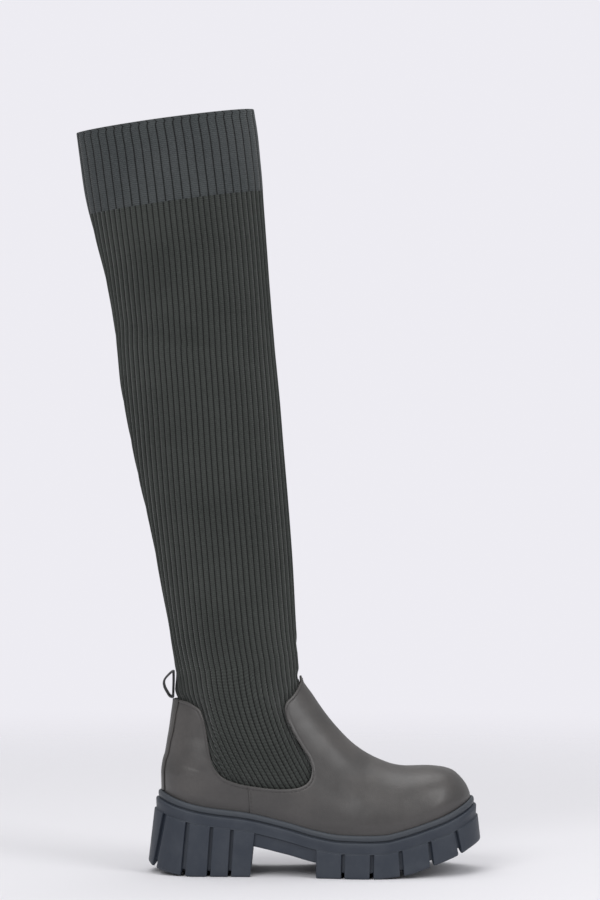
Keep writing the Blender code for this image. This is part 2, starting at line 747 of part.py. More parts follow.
def make_outsole(collection, cutters):
    sole = lofted("outsole", side_rings(0.0), collection, closed=False)
    grooved = core("groove_core", GROOVE_DEPTH, lambda x: tread(x) + TREAD_DEPTH, cutters)
    waisted = core("waist_core", 2 * GAP, lambda x: sole_top(x) - WAIST_THICK, cutters)
    breast = leant(HEEL_BREAST, sole_top(HEEL_BREAST) - BAND_HEIGHT, BREAST_LEAN)
    fore = leant(FORE_START, sole_top(FORE_START) - BAND_HEIGHT, 0.0)
    waist = block("waist_cut", [*breast, *fore[::-1]], cutters)
    boolean(waist, waisted)
    boolean(sole, waist)
    for x, lean in zip(place(GROOVES["along"]), GROOVES["lean"]):
        top = sole_top(x) - BAND_HEIGHT
        behind = leant(x - GROOVE_WIDTH / 2, top, lean)
        ahead = leant(x + GROOVE_WIDTH / 2, top, lean)
        groove = block(f"groove_cut_{x:.3f}", [*behind, *ahead[::-1]], cutters)
        boolean(groove, grooved)
        boolean(sole, groove)
    return sole


def back_x(y, z):
    """X of the counter's back at a distance from the middle and a height."""
    line_x = np.interp(z, BACK_LINE[:, 1], BACK_LINE[:, 0])
    x = line_x + np.linspace(0, 1, LINE_POINTS) ** 2 * BALL_WIDTH / 2
    side_view = np.column_stack([x, np.full(len(x), z)])[None]
    half, middle = form(side_view)
    return float(np.interp(abs(y), half[0] + middle[0] * np.sign(y), x))


def back_point(y, z, out):
    """Point on the counter's back, moved outwards in plan."""
    x = back_x(y, z)
    slope = (back_x(y + GAP, z) - back_x(y - GAP, z)) / (2 * GAP) if y else 0.0
    tilt = math.hypot(1, slope)
    return x - out / tilt, y + out * slope / tilt, z


def make_back_strip(collection):
    low, high = float(rand_top(-HEEL_BACK)) + GAP, COUNTER_TOP - GAP
    across = np.linspace(-STRIP_HALF_WIDTH, STRIP_HALF_WIDTH, STRIP_COLUMNS)
    rings = []
    for z in np.linspace(low, high, STRIP_ROWS):
        under = [back_point(y, z, GAP) for y in across]
        over = [back_point(y, z, GAP + STRIP_THICK) for y in across[::-1]]
        rings.append(under + over)
    return lofted("back_strip", np.array(rings), collection, closed=False)


def make_pull_loop(collection):
    """A strap bent into a D behind the ankle, standing on the counter's top."""
    flat = np.linspace(0, 1, len(LOOP_BULGE["up"]) - 2)
    up = np.concatenate([flat, LOOP_BULGE["up"][-2:0:-1]])
    out = np.concatenate([0 * flat, LOOP_BULGE["out"][-2:0:-1]])
    z = COUNTER_TOP + GAP + LOOP_THICK / 2 + up * (LOOP_HEIGHT - LOOP_THICK)
    x = np.interp(z, BACK_LINE[:, 1], BACK_LINE[:, 0]) - GAP - LOOP_THICK / 2
    path = np.column_stack([x - out * (LOOP_DEPTH - LOOP_THICK), z])
    run = np.roll(path, -1, 0) - np.roll(path, 1, 0)
    side = np.column_stack([run[:, 1], -run[:, 0]]) / np.linalg.norm(run, axis=1, keepdims=True)
    rings = []
    for y, face in ((-1, -1), (1, -1), (1, 1), (-1, 1)):
        edge = path + side * face * LOOP_THICK / 2
        rings.append(np.insert(edge, 1, y * LOOP_WIDTH / 2, axis=1))
    return lofted("pull_loop", np.array(rings), collection, closed=True)


def finish(made):
    colour, roughness = FINISH[made.name]
    material = bpy.data.materials.new(made.name)
    material.use_nodes = True
    shader = material.node_tree.nodes["Principled BSDF"]
    shader.inputs["Base Color"].default_value = (*colour, 1)
    shader.inputs["Roughness"].default_value = roughness
    shader.inputs["Metallic"].default_value = 0.0
    made.data.materials.append(material)


def main():
    for old in list(bpy.data.objects):
        bpy.data.objects.remove(old)
    boot = bpy.data.collections.new("knee_boot")
    cutters = bpy.data.collections.new("cutters")
    for collection in (boot, cutters):
        bpy.context.scene.collection.children.link(collection)
    stand = bpy.data.objects.new("knee_boot_origin", None)
    boot.objects.link(stand)
    pieces = [make_outsole(boot, cutters)]
    makers = (make_welt, make_insole, make_upper, make_back_strip, make_pull_loop, make_shaft)
    pieces += [make(boot) for make in makers]
    for piece in pieces:
        finish(piece)
        piece.parent = stand


main()
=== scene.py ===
"""The looks of the over-the-knee sock boot: ribbed knit, smooth leather foot with its stitches, and
a lug sole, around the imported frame. Metres, +Z up, +X to the toe, -Y is the outer side. The sizes,
tables and the form of the boot are those of the part, worked out here at a finer spacing."""

import math

import bmesh
import bpy
import numpy as np
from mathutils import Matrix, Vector, kdtree


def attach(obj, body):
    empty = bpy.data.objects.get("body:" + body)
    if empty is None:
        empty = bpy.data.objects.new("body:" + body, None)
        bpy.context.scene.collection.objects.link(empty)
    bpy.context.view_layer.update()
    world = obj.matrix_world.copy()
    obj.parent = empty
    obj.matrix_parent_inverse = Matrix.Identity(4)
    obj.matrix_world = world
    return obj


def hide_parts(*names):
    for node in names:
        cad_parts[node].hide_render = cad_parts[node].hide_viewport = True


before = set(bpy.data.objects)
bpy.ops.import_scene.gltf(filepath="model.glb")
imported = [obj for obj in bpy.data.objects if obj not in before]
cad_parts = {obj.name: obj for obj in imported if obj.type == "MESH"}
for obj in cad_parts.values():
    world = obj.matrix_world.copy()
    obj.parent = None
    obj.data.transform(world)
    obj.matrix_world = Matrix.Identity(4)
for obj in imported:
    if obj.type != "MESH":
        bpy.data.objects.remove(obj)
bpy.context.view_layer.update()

# Sizes of the foot
LAST_LENGTH = 0.2575  # back of the counter to the toe tip, at the top of the rand
HEEL_BACK = 0.0478  # back of the counter behind the origin
BALL_WIDTH = 0.094  # upper, across the ball
HEEL_SEAT = 0.0685  # top of the rand above the floor, at the back
PLATFORM = 0.0352  # top of the rand above the floor, under the ball
TOE_SPRING = 0.0270  # how far the rand climbs from the ball to the toe tip
TOE_BOX = 0.0515  # toe box above the top of the rand at the ball
VAMP_TIP = 0.1634  # top of the vamp above the floor
COUNTER_TOP = 0.1446  # top of the counter above the floor
CUT_OUT_BOTTOM = 0.0717  # lowest point of the side cut-outs above the floor
# Sizes of the shaft
BOOT_HEIGHT = 0.6388  # front of the cuff above the floor
CUFF_DROP = 0.0201  # how much lower the cuff is at the back
CUFF_BAND = 0.068  # height of the denser knit at the top
SHAFT_LENGTH = 0.1496  # front to back at the top of the cuff
SHAFT_DEPTH = 0.068  # side to side at the knee
ANKLE_CENTRE = 0.0147  # middle of the ankle ahead of the origin
LEAN = 0.0609  # how far the middle of the cuff stands behind the ankle
# Sizes of the sole
RAND_HEIGHT = 0.0050
RAND_OUT = 0.0028  # rand beyond the upper
WALL_OUT = 0.0050  # top of the sole's side beyond the upper
LUG_STEP = 0.0013  # lugs proud of the recessed band
SIDE_FLARE = 0.0016  # bottom of the sole's side beyond its lug tops
HEEL_FLARE = 0.0034  # what the heel's back adds to that flare
TOE_FLARE = 0.0005  # what the toe tip adds to it
TOE_FLARE_START = 0.90  # share of LAST_LENGTH
BAND_HEIGHT = 0.0100  # recessed band between the rand and the lugs
HEEL_BREAST = 0.0300  # front face of the heel ahead of the origin, at its top
FORE_START = 0.0820  # back face of the first forefoot lug
HEEL_BEVEL = 0.0110  # how far the tread rises at the back of the heel
BEVEL_START = 0.0165  # where that rise starts, behind the origin
BEVEL_CURVE = 1.8  # 1 would be a straight bevel
BREAST_LEAN = -0.10  # lean of that face, forward over the height
WAIST_THICK = 0.0215  # sole under the arch, from its top down
GROOVE_WIDTH = 0.0027
GROOVE_DEPTH = 0.0032  # grooves into the sole's side
TREAD_DEPTH = 0.0045  # grooves into the tread
# Walls and small pieces
LEATHER = 0.0018
KNIT = 0.0028
CUFF_STEP = 0.0006  # cuff proud of the shaft
VAMP_STEP = 0.0008  # vamp proud of the counter at the side seam
TUCK = 0.0080  # knit under the edge of the leather
STRIP_HALF_WIDTH = 0.0105
STRIP_THICK = 0.0012
LOOP_WIDTH = 0.0180
LOOP_HEIGHT = 0.0235
LOOP_DEPTH = 0.0098
LOOP_THICK = 0.0017
FEATHER_TUCK = 0.0014  # how far the upper pulls in at the rand
FEATHER_RISE = 0.0084  # height over which that fades
GAP = 0.0003  # between pieces that touch

LINE_POINTS = 2400  # points along a profile line
MOST_COVERED = 0.45  # most of the leather's height that may lie over knit, where it is low
BOW_REACH = 0.34  # how far into the foot's rings the curve of their ends reaches, as a share
SEAM_ALONG = 0.285  # side seam, as a share of LAST_LENGTH
SEAM_HALF = 0.0009  # half the width of the seam's step, as a share of a ring's side

# Spacing of the meshes
STATIONS = 290  # points from back to front along each side of a ring
LEATHER_ROWS = 56
GORE_ROWS = 62
LEG_ROWS = 150
CUFF_ROWS = 42
SOLE_STATIONS = 150

# Knit
RIB_PITCH = 0.0048  # between the cords of the shaft, round the leg
RIB_DEPTH = 0.0011
CUFF_RIB = 1.5  # pitch of the cuff's ribs, in ribs of the shaft
CUFF_RIB_DEPTH = 0.0008
BACK_SEAM = 0.0016  # half the width of the groove where the ribs run into the back seam
BACK_SEAM_DEPTH = 0.0009
KNIT_END = 0.03  # share of a ring, from its back or front, that keeps the leg's round section
CREASE_ANGLE = 50  # faces that meet at more degrees than this keep a hard edge
STITCH_PITCH = 0.0016  # between the rows of knitted stitches
CUFF_LIP = 0.0009  # how far the cuff's rim rolls over

# Threads
THREAD = 0.00032  # radius
THREAD_LENGTH = 0.0023
THREAD_PITCH = 0.0032
EDGE_STITCH = 0.0023  # row of stitches, from the edge of the leather
SEAM_STITCH = 0.0028  # row of stitches, ahead of the side seam
FOLD_PROUD = 0.00025  # folded edge of the leather

# Sole
LUG_ROUND = 0.0009  # rounding of the lugs at the grooves
TREAD_ROUND = 0.0015  # rounding of the lugs at the floor
STEP_ROUND = 0.0006  # rounding of the lugs at their top

# Camera: the photo is a level side view from far away
CAMERA_DISTANCE = 2.5
CAMERA_X = 0.0672
CAMERA_HEIGHT = 0.3532
LENS = 119.0
SENSOR = 36.0

# How far the ribs of the gore run forwards: height above the floor, slope
RIB_SLOPE_HEIGHT = (0.060, 0.085, 0.1163, 0.165, 0.210)
RIB_SLOPE = (0.58, 0.56, 0.40, 0.12, 0.0)


def table(columns, *rows):
    """A table as a dict with one array for each named column."""
    return dict(zip(columns.split(), np.array(rows, float).T))


# Top of the rand, from back to front: shares of LAST_LENGTH, of the heel's rise, of TOE_SPRING
RAND = table(
    "along heel toe",
    (0.000, 1.00, 0.00),
    (0.053, 0.83, 0.00),
    (0.140, 0.66, 0.00),
    (0.277, 0.52, 0.00),
    (0.403, 0.30, 0.00),
    (0.503, 0.10, 0.00),
    (0.580, 0.01, 0.00),
    (0.670, 0.00, 0.00),
    (0.720, 0.00, 0.02),
    (0.768, 0.00, 0.12),
    (0.827, 0.00, 0.28),
    (0.913, 0.00, 0.56),
    (0.975, 0.00, 0.85),
    (1.000, 0.00, 1.00),
)

# Plan of the upper at the rand: half-width and middle line as shares of BALL_WIDTH
PLAN = table(
    "along half middle",
    (0.00, 0.325, 0.000),
    (0.12, 0.345, 0.000),
    (0.28, 0.350, -0.008),
    (0.42, 0.375, -0.020),
    (0.55, 0.440, -0.028),
    (0.68, 0.498, -0.015),
    (0.76, 0.496, 0.005),
    (0.86, 0.455, 0.035),
    (0.94, 0.415, 0.055),
    (1.00, 0.385, 0.065),
)

# Ridge from the toe tip to the vamp tip: share of LAST_LENGTH, of TOE_BOX and of the instep's rise,
# and how deep the section rounds off, as a share of BALL_WIDTH, with its bluntness
RIDGE = table(
    "along box instep round blunt",
    (0.990, 0.68, 0.000, 0.42, 2.3),
    (0.970, 0.82, 0.000, 0.42, 2.3),
    (0.941, 0.94, 0.000, 0.42, 2.3),
    (0.905, 0.99, 0.000, 0.42, 2.3),
    (0.855, 1.01, 0.000, 0.43, 2.3),
    (0.798, 1.00, 0.004, 0.46, 2.2),
    (0.752, 1.00, 0.024, 0.50, 2.1),
    (0.716, 1.00, 0.065, 0.54, 2.0),
    (0.667, 1.00, 0.143, 0.58, 1.9),
    (0.619, 1.00, 0.253, 0.60, 1.9),
    (0.572, 1.00, 0.407, 0.60, 1.9),
    (0.531, 1.00, 0.572, 0.58, 1.9),
    (0.488, 1.00, 0.780, 0.57, 1.9),
)

# Back of the counter: share of its height, and how far it leans in as a share of LAST_LENGTH
COUNTER = table(
    "up inward round blunt",
    (0.00, 0.000, 0.34, 2.0),
    (0.19, -0.001, 0.35, 2.0),
    (0.31, 0.003, 0.38, 2.0),
    (0.42, 0.012, 0.42, 2.0),
    (0.54, 0.018, 0.46, 2.0),
    (0.66, 0.024, 0.50, 1.9),
    (0.83, 0.031, 0.54, 1.9),
)

# Edge of the leather round a cut-out, from the counter's top to the vamp tip: place as a share of
# LAST_LENGTH, and height as a share from CUT_OUT_BOTTOM to the counter's top or the vamp tip. The
# line of the foot through each point starts on the rand at a share of LAST_LENGTH, and ends on the
# ankle at a share of its length.
EDGE = table(
    "along counter vamp rand ankle",
    (0.0390, 1.000, 0.000, 0.000, 0.000),
    (0.0770, 0.977, 0.000, 0.025, 0.050),
    (0.1020, 0.938, 0.000, 0.050, 0.100),
    (0.1220, 0.890, 0.000, 0.072, 0.150),
    (0.1330, 0.794, 0.000, 0.094, 0.195),
    (0.1415, 0.669, 0.000, 0.116, 0.230),
    (0.1520, 0.457, 0.000, 0.140, 0.260),
    (0.1630, 0.291, 0.000, 0.165, 0.290),
    (0.1795, 0.188, 0.000, 0.190, 0.320),
    (0.2080, 0.108, 0.000, 0.222, 0.350),
    (0.2790, 0.036, 0.000, 0.285, 0.390),
    (0.3850, 0.000, 0.000, 0.385, 0.430),
    (0.4300, 0.000, 0.009, 0.450, 0.455),
    (0.4650, 0.000, 0.046, 0.520, 0.475),
    (0.4814, 0.000, 0.105, 0.575, 0.495),
    (0.4860, 0.000, 0.174, 0.620, 0.520),
    (0.4780, 0.000, 0.264, 0.665, 0.545),
    (0.4520, 0.000, 0.381, 0.720, 0.575),
    (0.4200, 0.000, 0.532, 0.780, 0.640),
    (0.4020, 0.000, 0.649, 0.830, 0.720),
    (0.3977, 0.000, 0.721, 0.862, 0.780),
    (0.4020, 0.000, 0.773, 0.890, 0.830),
    (0.4200, 0.000, 0.825, 0.918, 0.880),
    (0.4380, 0.000, 0.890, 0.952, 0.920),
    (0.4490, 0.000, 0.960, 0.982, 0.962),
    (0.4520, 0.000, 1.000, 1.000, 1.000),
)

# Shaft from the ankle to the cuff: lean of its middle as a share of LEAN, length as a share of
# SHAFT_LENGTH, side to side as a share of SHAFT_DEPTH
SHAFT = table(
    "up lean length depth",
    (0.00, 0.000, 0.708, 0.94),
    (0.05, 0.019, 0.689, 0.90),
    (0.10, 0.057, 0.703, 0.85),
    (0.20, 0.148, 0.744, 0.78),
    (0.30, 0.251, 0.781, 0.77),
    (0.40, 0.373, 0.827, 0.81),
    (0.50, 0.483, 0.864, 0.88),
    (0.56, 0.547, 0.878, 0.93),
    (0.62, 0.590, 0.879, 0.97),
    (0.68, 0.640, 0.889, 1.00),
    (0.75, 0.713, 0.916, 1.00),
    (0.82, 0.803, 0.957, 0.96),
    (0.90, 0.899, 0.997, 0.90),
    (0.96, 0.955, 1.004, 0.86),
    (1.00, 1.000, 1.000, 0.84),
)
FRONT_BLUNT = 2.0
BACK_BLUNT = 1.8  # the seam pinches the back of the shaft

# Soft folds of the shaft: height as a share of the shaft, place from back to front as a share of a
# ring, rise towards the front, depth in metres, reach up and along as shares
FOLDS = table(
    "up along rise depth tall wide",
    (0.615, 0.42, -0.10, 0.0026, 0.020, 0.22),
    (0.655, 0.30, -0.06, -0.0016, 0.025, 0.20),
    (0.560, 0.86, 0.00, 0.0012, 0.080, 0.07),
)

# Grooves between the lugs, at their tops: share of LAST_LENGTH, and lean forward over the height
GROOVES = table(
    "along lean",
    (0.028, -0.095),
    (0.092, -0.058),
    (0.163, -0.066),
    (0.229, -0.056),
    (0.589, -0.005),
    (0.676, -0.030),
    (0.764, 0.055),
    (0.855, 0.080),
    (0.933, 0.120),
)

# Section of the rand: shares of RAND_HEIGHT and RAND_OUT, outwards from the upper and back to it
RAND_SECTION = (
    (0.00, 0.85),
    (0.05, 0.98),
    (0.20, 1.06),
    (0.50, 1.08),
    (0.75, 1.02),
    (0.90, 0.86),
    (0.98, 0.62),
    (1.00, 0.35),
)

# Side of the band: shares of BAND_HEIGHT down and of WALL_OUT out, with the notch under the rand
BAND_SIDE = (
    (0.00, 0.40),
    (0.06, 0.42),
    (0.08, 0.80),
    (0.12, 0.94),
    (0.20, 1.00),
    (0.50, 0.98),
    (0.92, 0.95),
    (0.99, 0.97),
)

# Top of the lugs: shares of STEP_ROUND down, and to the face of the lugs
LUG_TOP = (
    (0.0, 0.0),
    (0.02, 0.0),
    (0.12, 0.12),
    (0.35, 0.35),
    (0.65, 0.65),
    (1.0, 1.0),
)

# Rows of the leather near its edge, as shares of TUCK
EDGE_SHARES = (0.85, 0.70, 0.58, 0.48, 0.40, 0.34, 0.29, 0.24, 0.19, 0.14, 0.09, 0.04, 0.0)

# Rounded edge of a wall: share across it, and of its rise
LIP = ((0.12, 0.7), (0.5, 1.0), (0.88, 0.7))

# Bulge of the pull loop from its bottom up: shares of LOOP_HEIGHT and LOOP_DEPTH
LOOP_BULGE = table(
    "up out",
    (0.00, 0.00),
    (0.04, 0.30),
    (0.20, 0.62),
    (0.42, 0.93),
    (0.55, 1.00),
    (0.66, 0.95),
    (0.85, 0.55),
    (0.97, 0.18),
    (1.00, 0.00),
)

# Tread under the forefoot: share of LAST_LENGTH, and rise as a share of TOE_SPRING
TREAD = table(
    "along rise",
    (0.700, 0.00),
    (0.780, 0.11),
    (0.850, 0.33),
    (0.930, 0.64),
    (0.980, 0.88),
    (1.030, 1.10),
)

LEG_BACK = BOOT_HEIGHT - CUFF_DROP - COUNTER_TOP
LEG_FRONT = BOOT_HEIGHT - VAMP_TIP
CUFF_START = 1 - CUFF_BAND / LEG_BACK
ANKLE_START = 0.04  # first level ring of the shaft, as a share of its height

# Soft creases of the leather, in side view: middle, half length, angle in degrees, depth (below
# zero for a ridge), half width, and the sides they are on (-1 outer, 1 inner, 0 both)
CREASES = table(
    "x z long angle depth wide side",
    (0.102, 0.098, 0.026, -52.0, -0.0005, 0.0085, 0),
    (0.092, 0.083, 0.030, -47.0, 0.0005, 0.0060, -1),
    (0.118, 0.075, 0.030, -38.0, 0.0004, 0.0070, 0),
    (0.128, 0.064, 0.022, 58.0, 0.0003, 0.0050, -1),
    (0.141, 0.066, 0.020, 66.0, 0.0003, 0.0045, 1),
    (-0.006, 0.088, 0.022, -28.0, -0.0006, 0.0070, 0),
    (-0.012, 0.112, 0.024, -80.0, 0.0004, 0.0080, 0),
    (0.030, 0.060, 0.030, -8.0, 0.0003, 0.0050, 0),
    (0.163, 0.070, 0.020, 20.0, -0.0003, 0.0070, 0),
)

# Colours, linear
KNIT_LIGHT = (0.045, 0.050, 0.046, 1)
KNIT_DARK = (0.030, 0.034, 0.031, 1)
CUFF_LIGHT = (0.056, 0.062, 0.064, 1)
CUFF_DARK = (0.040, 0.046, 0.048, 1)
LEATHER_LIGHT = (0.080, 0.074, 0.071, 1)
# LEATHER_LOW is the darker tone of the clouding, and of the painted shade near the sole
LEATHER_LOW = (0.052, 0.049, 0.048, 1)
LEATHER_DARK = (0.030, 0.028, 0.028, 1)
THREAD_COLOUR = (0.085, 0.080, 0.078, 1)
SOLE_COLOUR = (0.026, 0.033, 0.047, 1)
SOLE_PALER = (0.052, 0.060, 0.074, 1)
RAND_COLOUR = (0.045, 0.052, 0.062, 1)
STRAP_COLOUR = (0.010, 0.010, 0.011, 1)
INSOLE_COLOUR = (0.030, 0.028, 0.027, 1)
FLOOR_COLOUR = (0.80, 0.79, 0.82)
BACKDROP = (0.85, 0.84, 0.89)
AMBIENT = (0.97, 0.98, 1.0)
AMBIENT_STRENGTH = 0.45

# Floor: radius, and the distances over which it fades into the backdrop
FLOOR_RADIUS = 12.0
FLOOR_FADE = (0.45, 1.6)

# Softboxes: place, size and power, and the point in the boot's middle plane that each one faces
LIGHTS = table(
    "x y z wide tall watts aim_x aim_z",
    (-1.1, -2.2, 1.9, 1.6, 1.6, 34.0, 0.02, 0.30),
    (1.8, -1.4, 1.6, 1.0, 1.8, 22.0, 0.05, 0.30),
    (0.0, 0.4, 2.6, 2.2, 1.6, 26.0, 0.05, 0.10),
)


def smooth(x, known_x, known_y):
    """A monotone cubic through the known points, held level beyond them."""
    x = np.asarray(x, float)
    step = np.diff(known_x)
    slope = np.diff(known_y) / step
    tangent = np.zeros(len(known_x))
    tangent[0], tangent[-1] = slope[0], slope[-1]
    left, right = slope[:-1], slope[1:]
    same = left * right > 0
    weight_left = 2 * step[1:] + step[:-1]
    weight_right = step[1:] + 2 * step[:-1]
    total = weight_left / np.where(same, left, 1) + weight_right / np.where(same, right, 1)
    tangent[1:-1] = np.where(same, (weight_left + weight_right) / np.where(same, total, 1), 0)
    i = np.clip(np.searchsorted(known_x, x, side="right") - 1, 0, len(known_x) - 2)
    t = np.clip((x - np.take(known_x, i)) / step[i], 0, 1)
    ahead = 1 - t
    start = (1 + 2 * t) * ahead**2 * np.take(known_y, i) + t * ahead**2 * step[i] * tangent[i]
    end = t**2 * (3 - 2 * t) * np.take(known_y, i + 1) - t**2 * ahead * step[i] * tangent[i + 1]
    return start + end


def ease(t):
    """0 to 1, smooth at both ends."""
    t = np.clip(t, 0, 1)
    return t * t * (3 - 2 * t)


def place(along):
    """X of a share of the last's length."""
    return np.asarray(along) * LAST_LENGTH - HEEL_BACK


def share(x):
    return (np.asarray(x) + HEEL_BACK) / LAST_LENGTH


def rand_top(x):
    heel = smooth(share(x), RAND["along"], RAND["heel"])
    toe = smooth(share(x), RAND["along"], RAND["toe"])
    return PLATFORM + heel * (HEEL_SEAT - PLATFORM) + toe * TOE_SPRING


def sole_top(x):
    return rand_top(x) - RAND_HEIGHT


def tread(x):
    """Underside of the sole where it meets the floor, bevelled at the heel and sprung at the toe."""
    sprung = smooth(share(x), TREAD["along"], TREAD["rise"]) * TOE_SPRING
    behind = np.maximum(-BEVEL_START - np.asarray(x), 0) / (HEEL_BACK + WALL_OUT - BEVEL_START)
    return sprung + HEEL_BEVEL * behind**BEVEL_CURVE


def shaft_end(up, side):
    """Side-view point of the shaft's back (-1) or front (1) at a share of its height."""
    middle = ANKLE_CENTRE - LEAN * smooth(up, SHAFT["up"], SHAFT["lean"])
    half = SHAFT_LENGTH / 2 * smooth(up, SHAFT["up"], SHAFT["length"])
    if side < 0:
        return np.stack([middle - half, COUNTER_TOP + np.asarray(up) * LEG_BACK], -1)
    return np.stack([middle + half, VAMP_TIP + np.asarray(up) * LEG_FRONT], -1)


def half_length(up):
    return SHAFT_LENGTH / 2 * smooth(up, SHAFT["up"], SHAFT["length"])


def outline(side):
    """The back or front profile from the sole up: points with the depth and bluntness of the
    rounding behind each, four columns."""
    up = np.linspace(0, 1, 8 * len(SHAFT["up"]))
    leg = shaft_end(up, side)
    blunt = FRONT_BLUNT if side > 0 else BACK_BLUNT
    leg = np.column_stack([leg, half_length(up), np.full(len(up), blunt)])
    leg = np.vstack([leg, leg[-1] + [0, CUFF_DROP, 0, 0]])
    if side > 0:
        x = place(RIDGE["along"])
        rise = VAMP_TIP - PLATFORM - TOE_BOX
        z = PLATFORM + RIDGE["box"] * TOE_BOX + RIDGE["instep"] * rise
        tip = place(1.0)
        low = [[tip, sole_top(tip) - RAND_HEIGHT], [tip, rand_top(tip)]]
        deep, blunt = RIDGE["round"], RIDGE["blunt"]
    else:
        x = place(COUNTER["inward"])
        z = HEEL_SEAT + COUNTER["up"] * (COUNTER_TOP - HEEL_SEAT)
        low = [[x[0], sole_top(x[0]) - RAND_HEIGHT]]
        deep, blunt = COUNTER["round"], COUNTER["blunt"]
    low = [[*point, deep[0] * BALL_WIDTH, blunt[0]] for point in low]
    foot = np.column_stack([x, z, deep * BALL_WIDTH, blunt])
    knots = np.vstack([low, foot, leg])
    gone = np.concatenate([[0], np.cumsum(np.hypot(*np.diff(knots[:, :2], axis=0).T))])
    at = np.linspace(0, gone[-1], LINE_POINTS)
    return np.column_stack([smooth(at, gone, knots[:, i]) for i in range(4)])


BACK_LINE = outline(-1)
FRONT_LINE = outline(1)


def nearest_on(points, line):
    """For side-view points: distance to a line, the index of its nearest part, and the share along
    that part."""
    tree = kdtree.KDTree(len(line))
    for i, (x, z) in enumerate(line[:, :2]):
        tree.insert((x, z, 0.0), i)
    tree.balance()
    nearest = np.array([tree.find((x, z, 0.0))[1] for x, z in points])
    apart = np.full(len(points), np.inf)
    part, share_along = np.zeros(len(points), int), np.zeros(len(points))
    for first in (nearest - 1, nearest):
        first = np.clip(first, 0, len(line) - 2)
        run = line[first + 1, :2] - line[first, :2]
        offset = points - line[first, :2]
        t = np.clip((offset * run).sum(-1) / (run * run).sum(-1), 0, 1)
        away = np.hypot(*(offset - t[:, None] * run).T)
        closer = away < apart
        apart[closer], part[closer], share_along[closer] = away[closer], first[closer], t[closer]
    return apart, part, share_along


def rounding(points, line):
    """1 well inside a profile line, falling to 0 on it as a round section does."""
    apart, part, t = nearest_on(points, line)
    deep, blunt = (line[part, 2:] * (1 - t[:, None]) + line[part + 1, 2:] * t[:, None]).T
    left = np.clip(1 - apart / deep, 0, 1)
    return (1 - left**blunt) ** (1 / blunt)


def shaft_share(x, z):
    """Height of a side-view point in the shaft, 0 at the line from counter to vamp tip."""
    across = (np.asarray(x) - (ANKLE_CENTRE - half_length(0))) / (2 * half_length(0))
    low = COUNTER_TOP + across * (VAMP_TIP - COUNTER_TOP)
    top_back = ANKLE_CENTRE - LEAN - half_length(1)
    top_across = (np.asarray(x) - top_back) / (2 * half_length(1))
    high = BOOT_HEIGHT - CUFF_DROP + top_across * CUFF_DROP
    return (z - low) / (high - low)


def fold_depth(up, along):
    """How far the folds push the shaft in."""
    depth = np.zeros(np.shape(up))
    for i in range(len(FOLDS["up"])):
        off = up - FOLDS["up"][i] - FOLDS["rise"][i] * (along - FOLDS["along"][i])
        beside = (along - FOLDS["along"][i]) / FOLDS["wide"][i]
        depth += FOLDS["depth"][i] * np.exp(-((off / FOLDS["tall"][i]) ** 2) - beside**2)
    return depth


def form(side_view):
    """Half-width and middle line of the boot at side-view points, shape (rows, stations, 2)."""
    flat = side_view.reshape(-1, 2)
    x, z = flat.T
    along = share(x)
    floor_line = rand_top(x)
    ankle_line = np.interp(along, EDGE["along"][[0, -1]], [COUNTER_TOP, VAMP_TIP])
    rise = ease((z - floor_line) / (ankle_line - floor_line))
    up = np.clip(shaft_share(x, z), 0, 1)
    foot = BALL_WIDTH * smooth(along, PLAN["along"], PLAN["half"])
    leg = SHAFT_DEPTH / 2 * smooth(up, SHAFT["up"], SHAFT["depth"])
    half = foot * (1 - rise) + leg * rise
    half -= FEATHER_TUCK * (1 - ease((z - floor_line - GAP) / FEATHER_RISE))
    closed = rounding(flat, BACK_LINE) * rounding(flat, FRONT_LINE)
    back, front = shaft_end(up, -1)[:, 0], shaft_end(up, 1)[:, 0]
    folds = fold_depth(up, (x - back) / (front - back)) * closed
    middle = BALL_WIDTH * smooth(along, PLAN["along"], PLAN["middle"]) * (1 - rise)
    shape = side_view.shape[:2]
    return (half * closed - folds).reshape(shape), middle.reshape(shape)


def skin(side_view, round_ends=False):
    """Closed rings of 3-D points over a side-view grid: back, outer side, front, inner side.
    round_ends gives each ring the leg's section close to its back and front."""
    half, middle = form(side_view)
    if round_ends:
        for share_in, blunt in ((U, BACK_BLUNT), (1 - U, FRONT_BLUNT)):
            law = (1 - np.abs(1 - 2 * share_in) ** blunt) ** (1 / blunt)
            near = share_in < KNIT_END
            first = np.where(near, 2.0, share_in).argmin()
            half[:, near] = half[:, [first]] * law[near] / law[first]
    half[:, [0, -1]] = 0
    outer = np.stack([side_view[..., 0], middle - half, side_view[..., 1]], -1)
    inner = np.stack([side_view[..., 0], middle + half, side_view[..., 1]], -1)
    return np.concatenate([outer, inner[:, -2:0:-1]], 1)


def normals(grid):
    """Outward unit normals of closed rings stacked upwards."""
    around = np.roll(grid, -1, 1) - np.roll(grid, 1, 1)
    upward = np.gradient(grid, axis=0)
    out = np.cross(around, upward)
    out /= np.linalg.norm(out, axis=-1, keepdims=True)
    return out


def moved(grid, distance):
    """The rings moved along their normals by a distance, or one for each ring or point."""
    distance = np.asarray(distance, float)
    while distance.ndim < 2:
        distance = distance[..., None]
    return grid + normals(grid) * distance[..., None]


def filled(bottom, top, back, front):
    """A grid of side-view points between four border curves. The bow of the back and of the front
    fades out towards the middle."""
    v = np.linspace(0, 1, len(back))[:, None, None]
    ruled = (1 - v) * bottom[None] + v * top[None]
    back_bow = back[:, None] - ruled[:, :1]
    front_bow = front[:, None] - ruled[:, -1:]
    at_back = ease(1 - U / BOW_REACH)[None, :, None]
    at_front = ease((U - 1 + BOW_REACH) / BOW_REACH)[None, :, None]
    return ruled + at_back * back_bow + at_front * front_bow


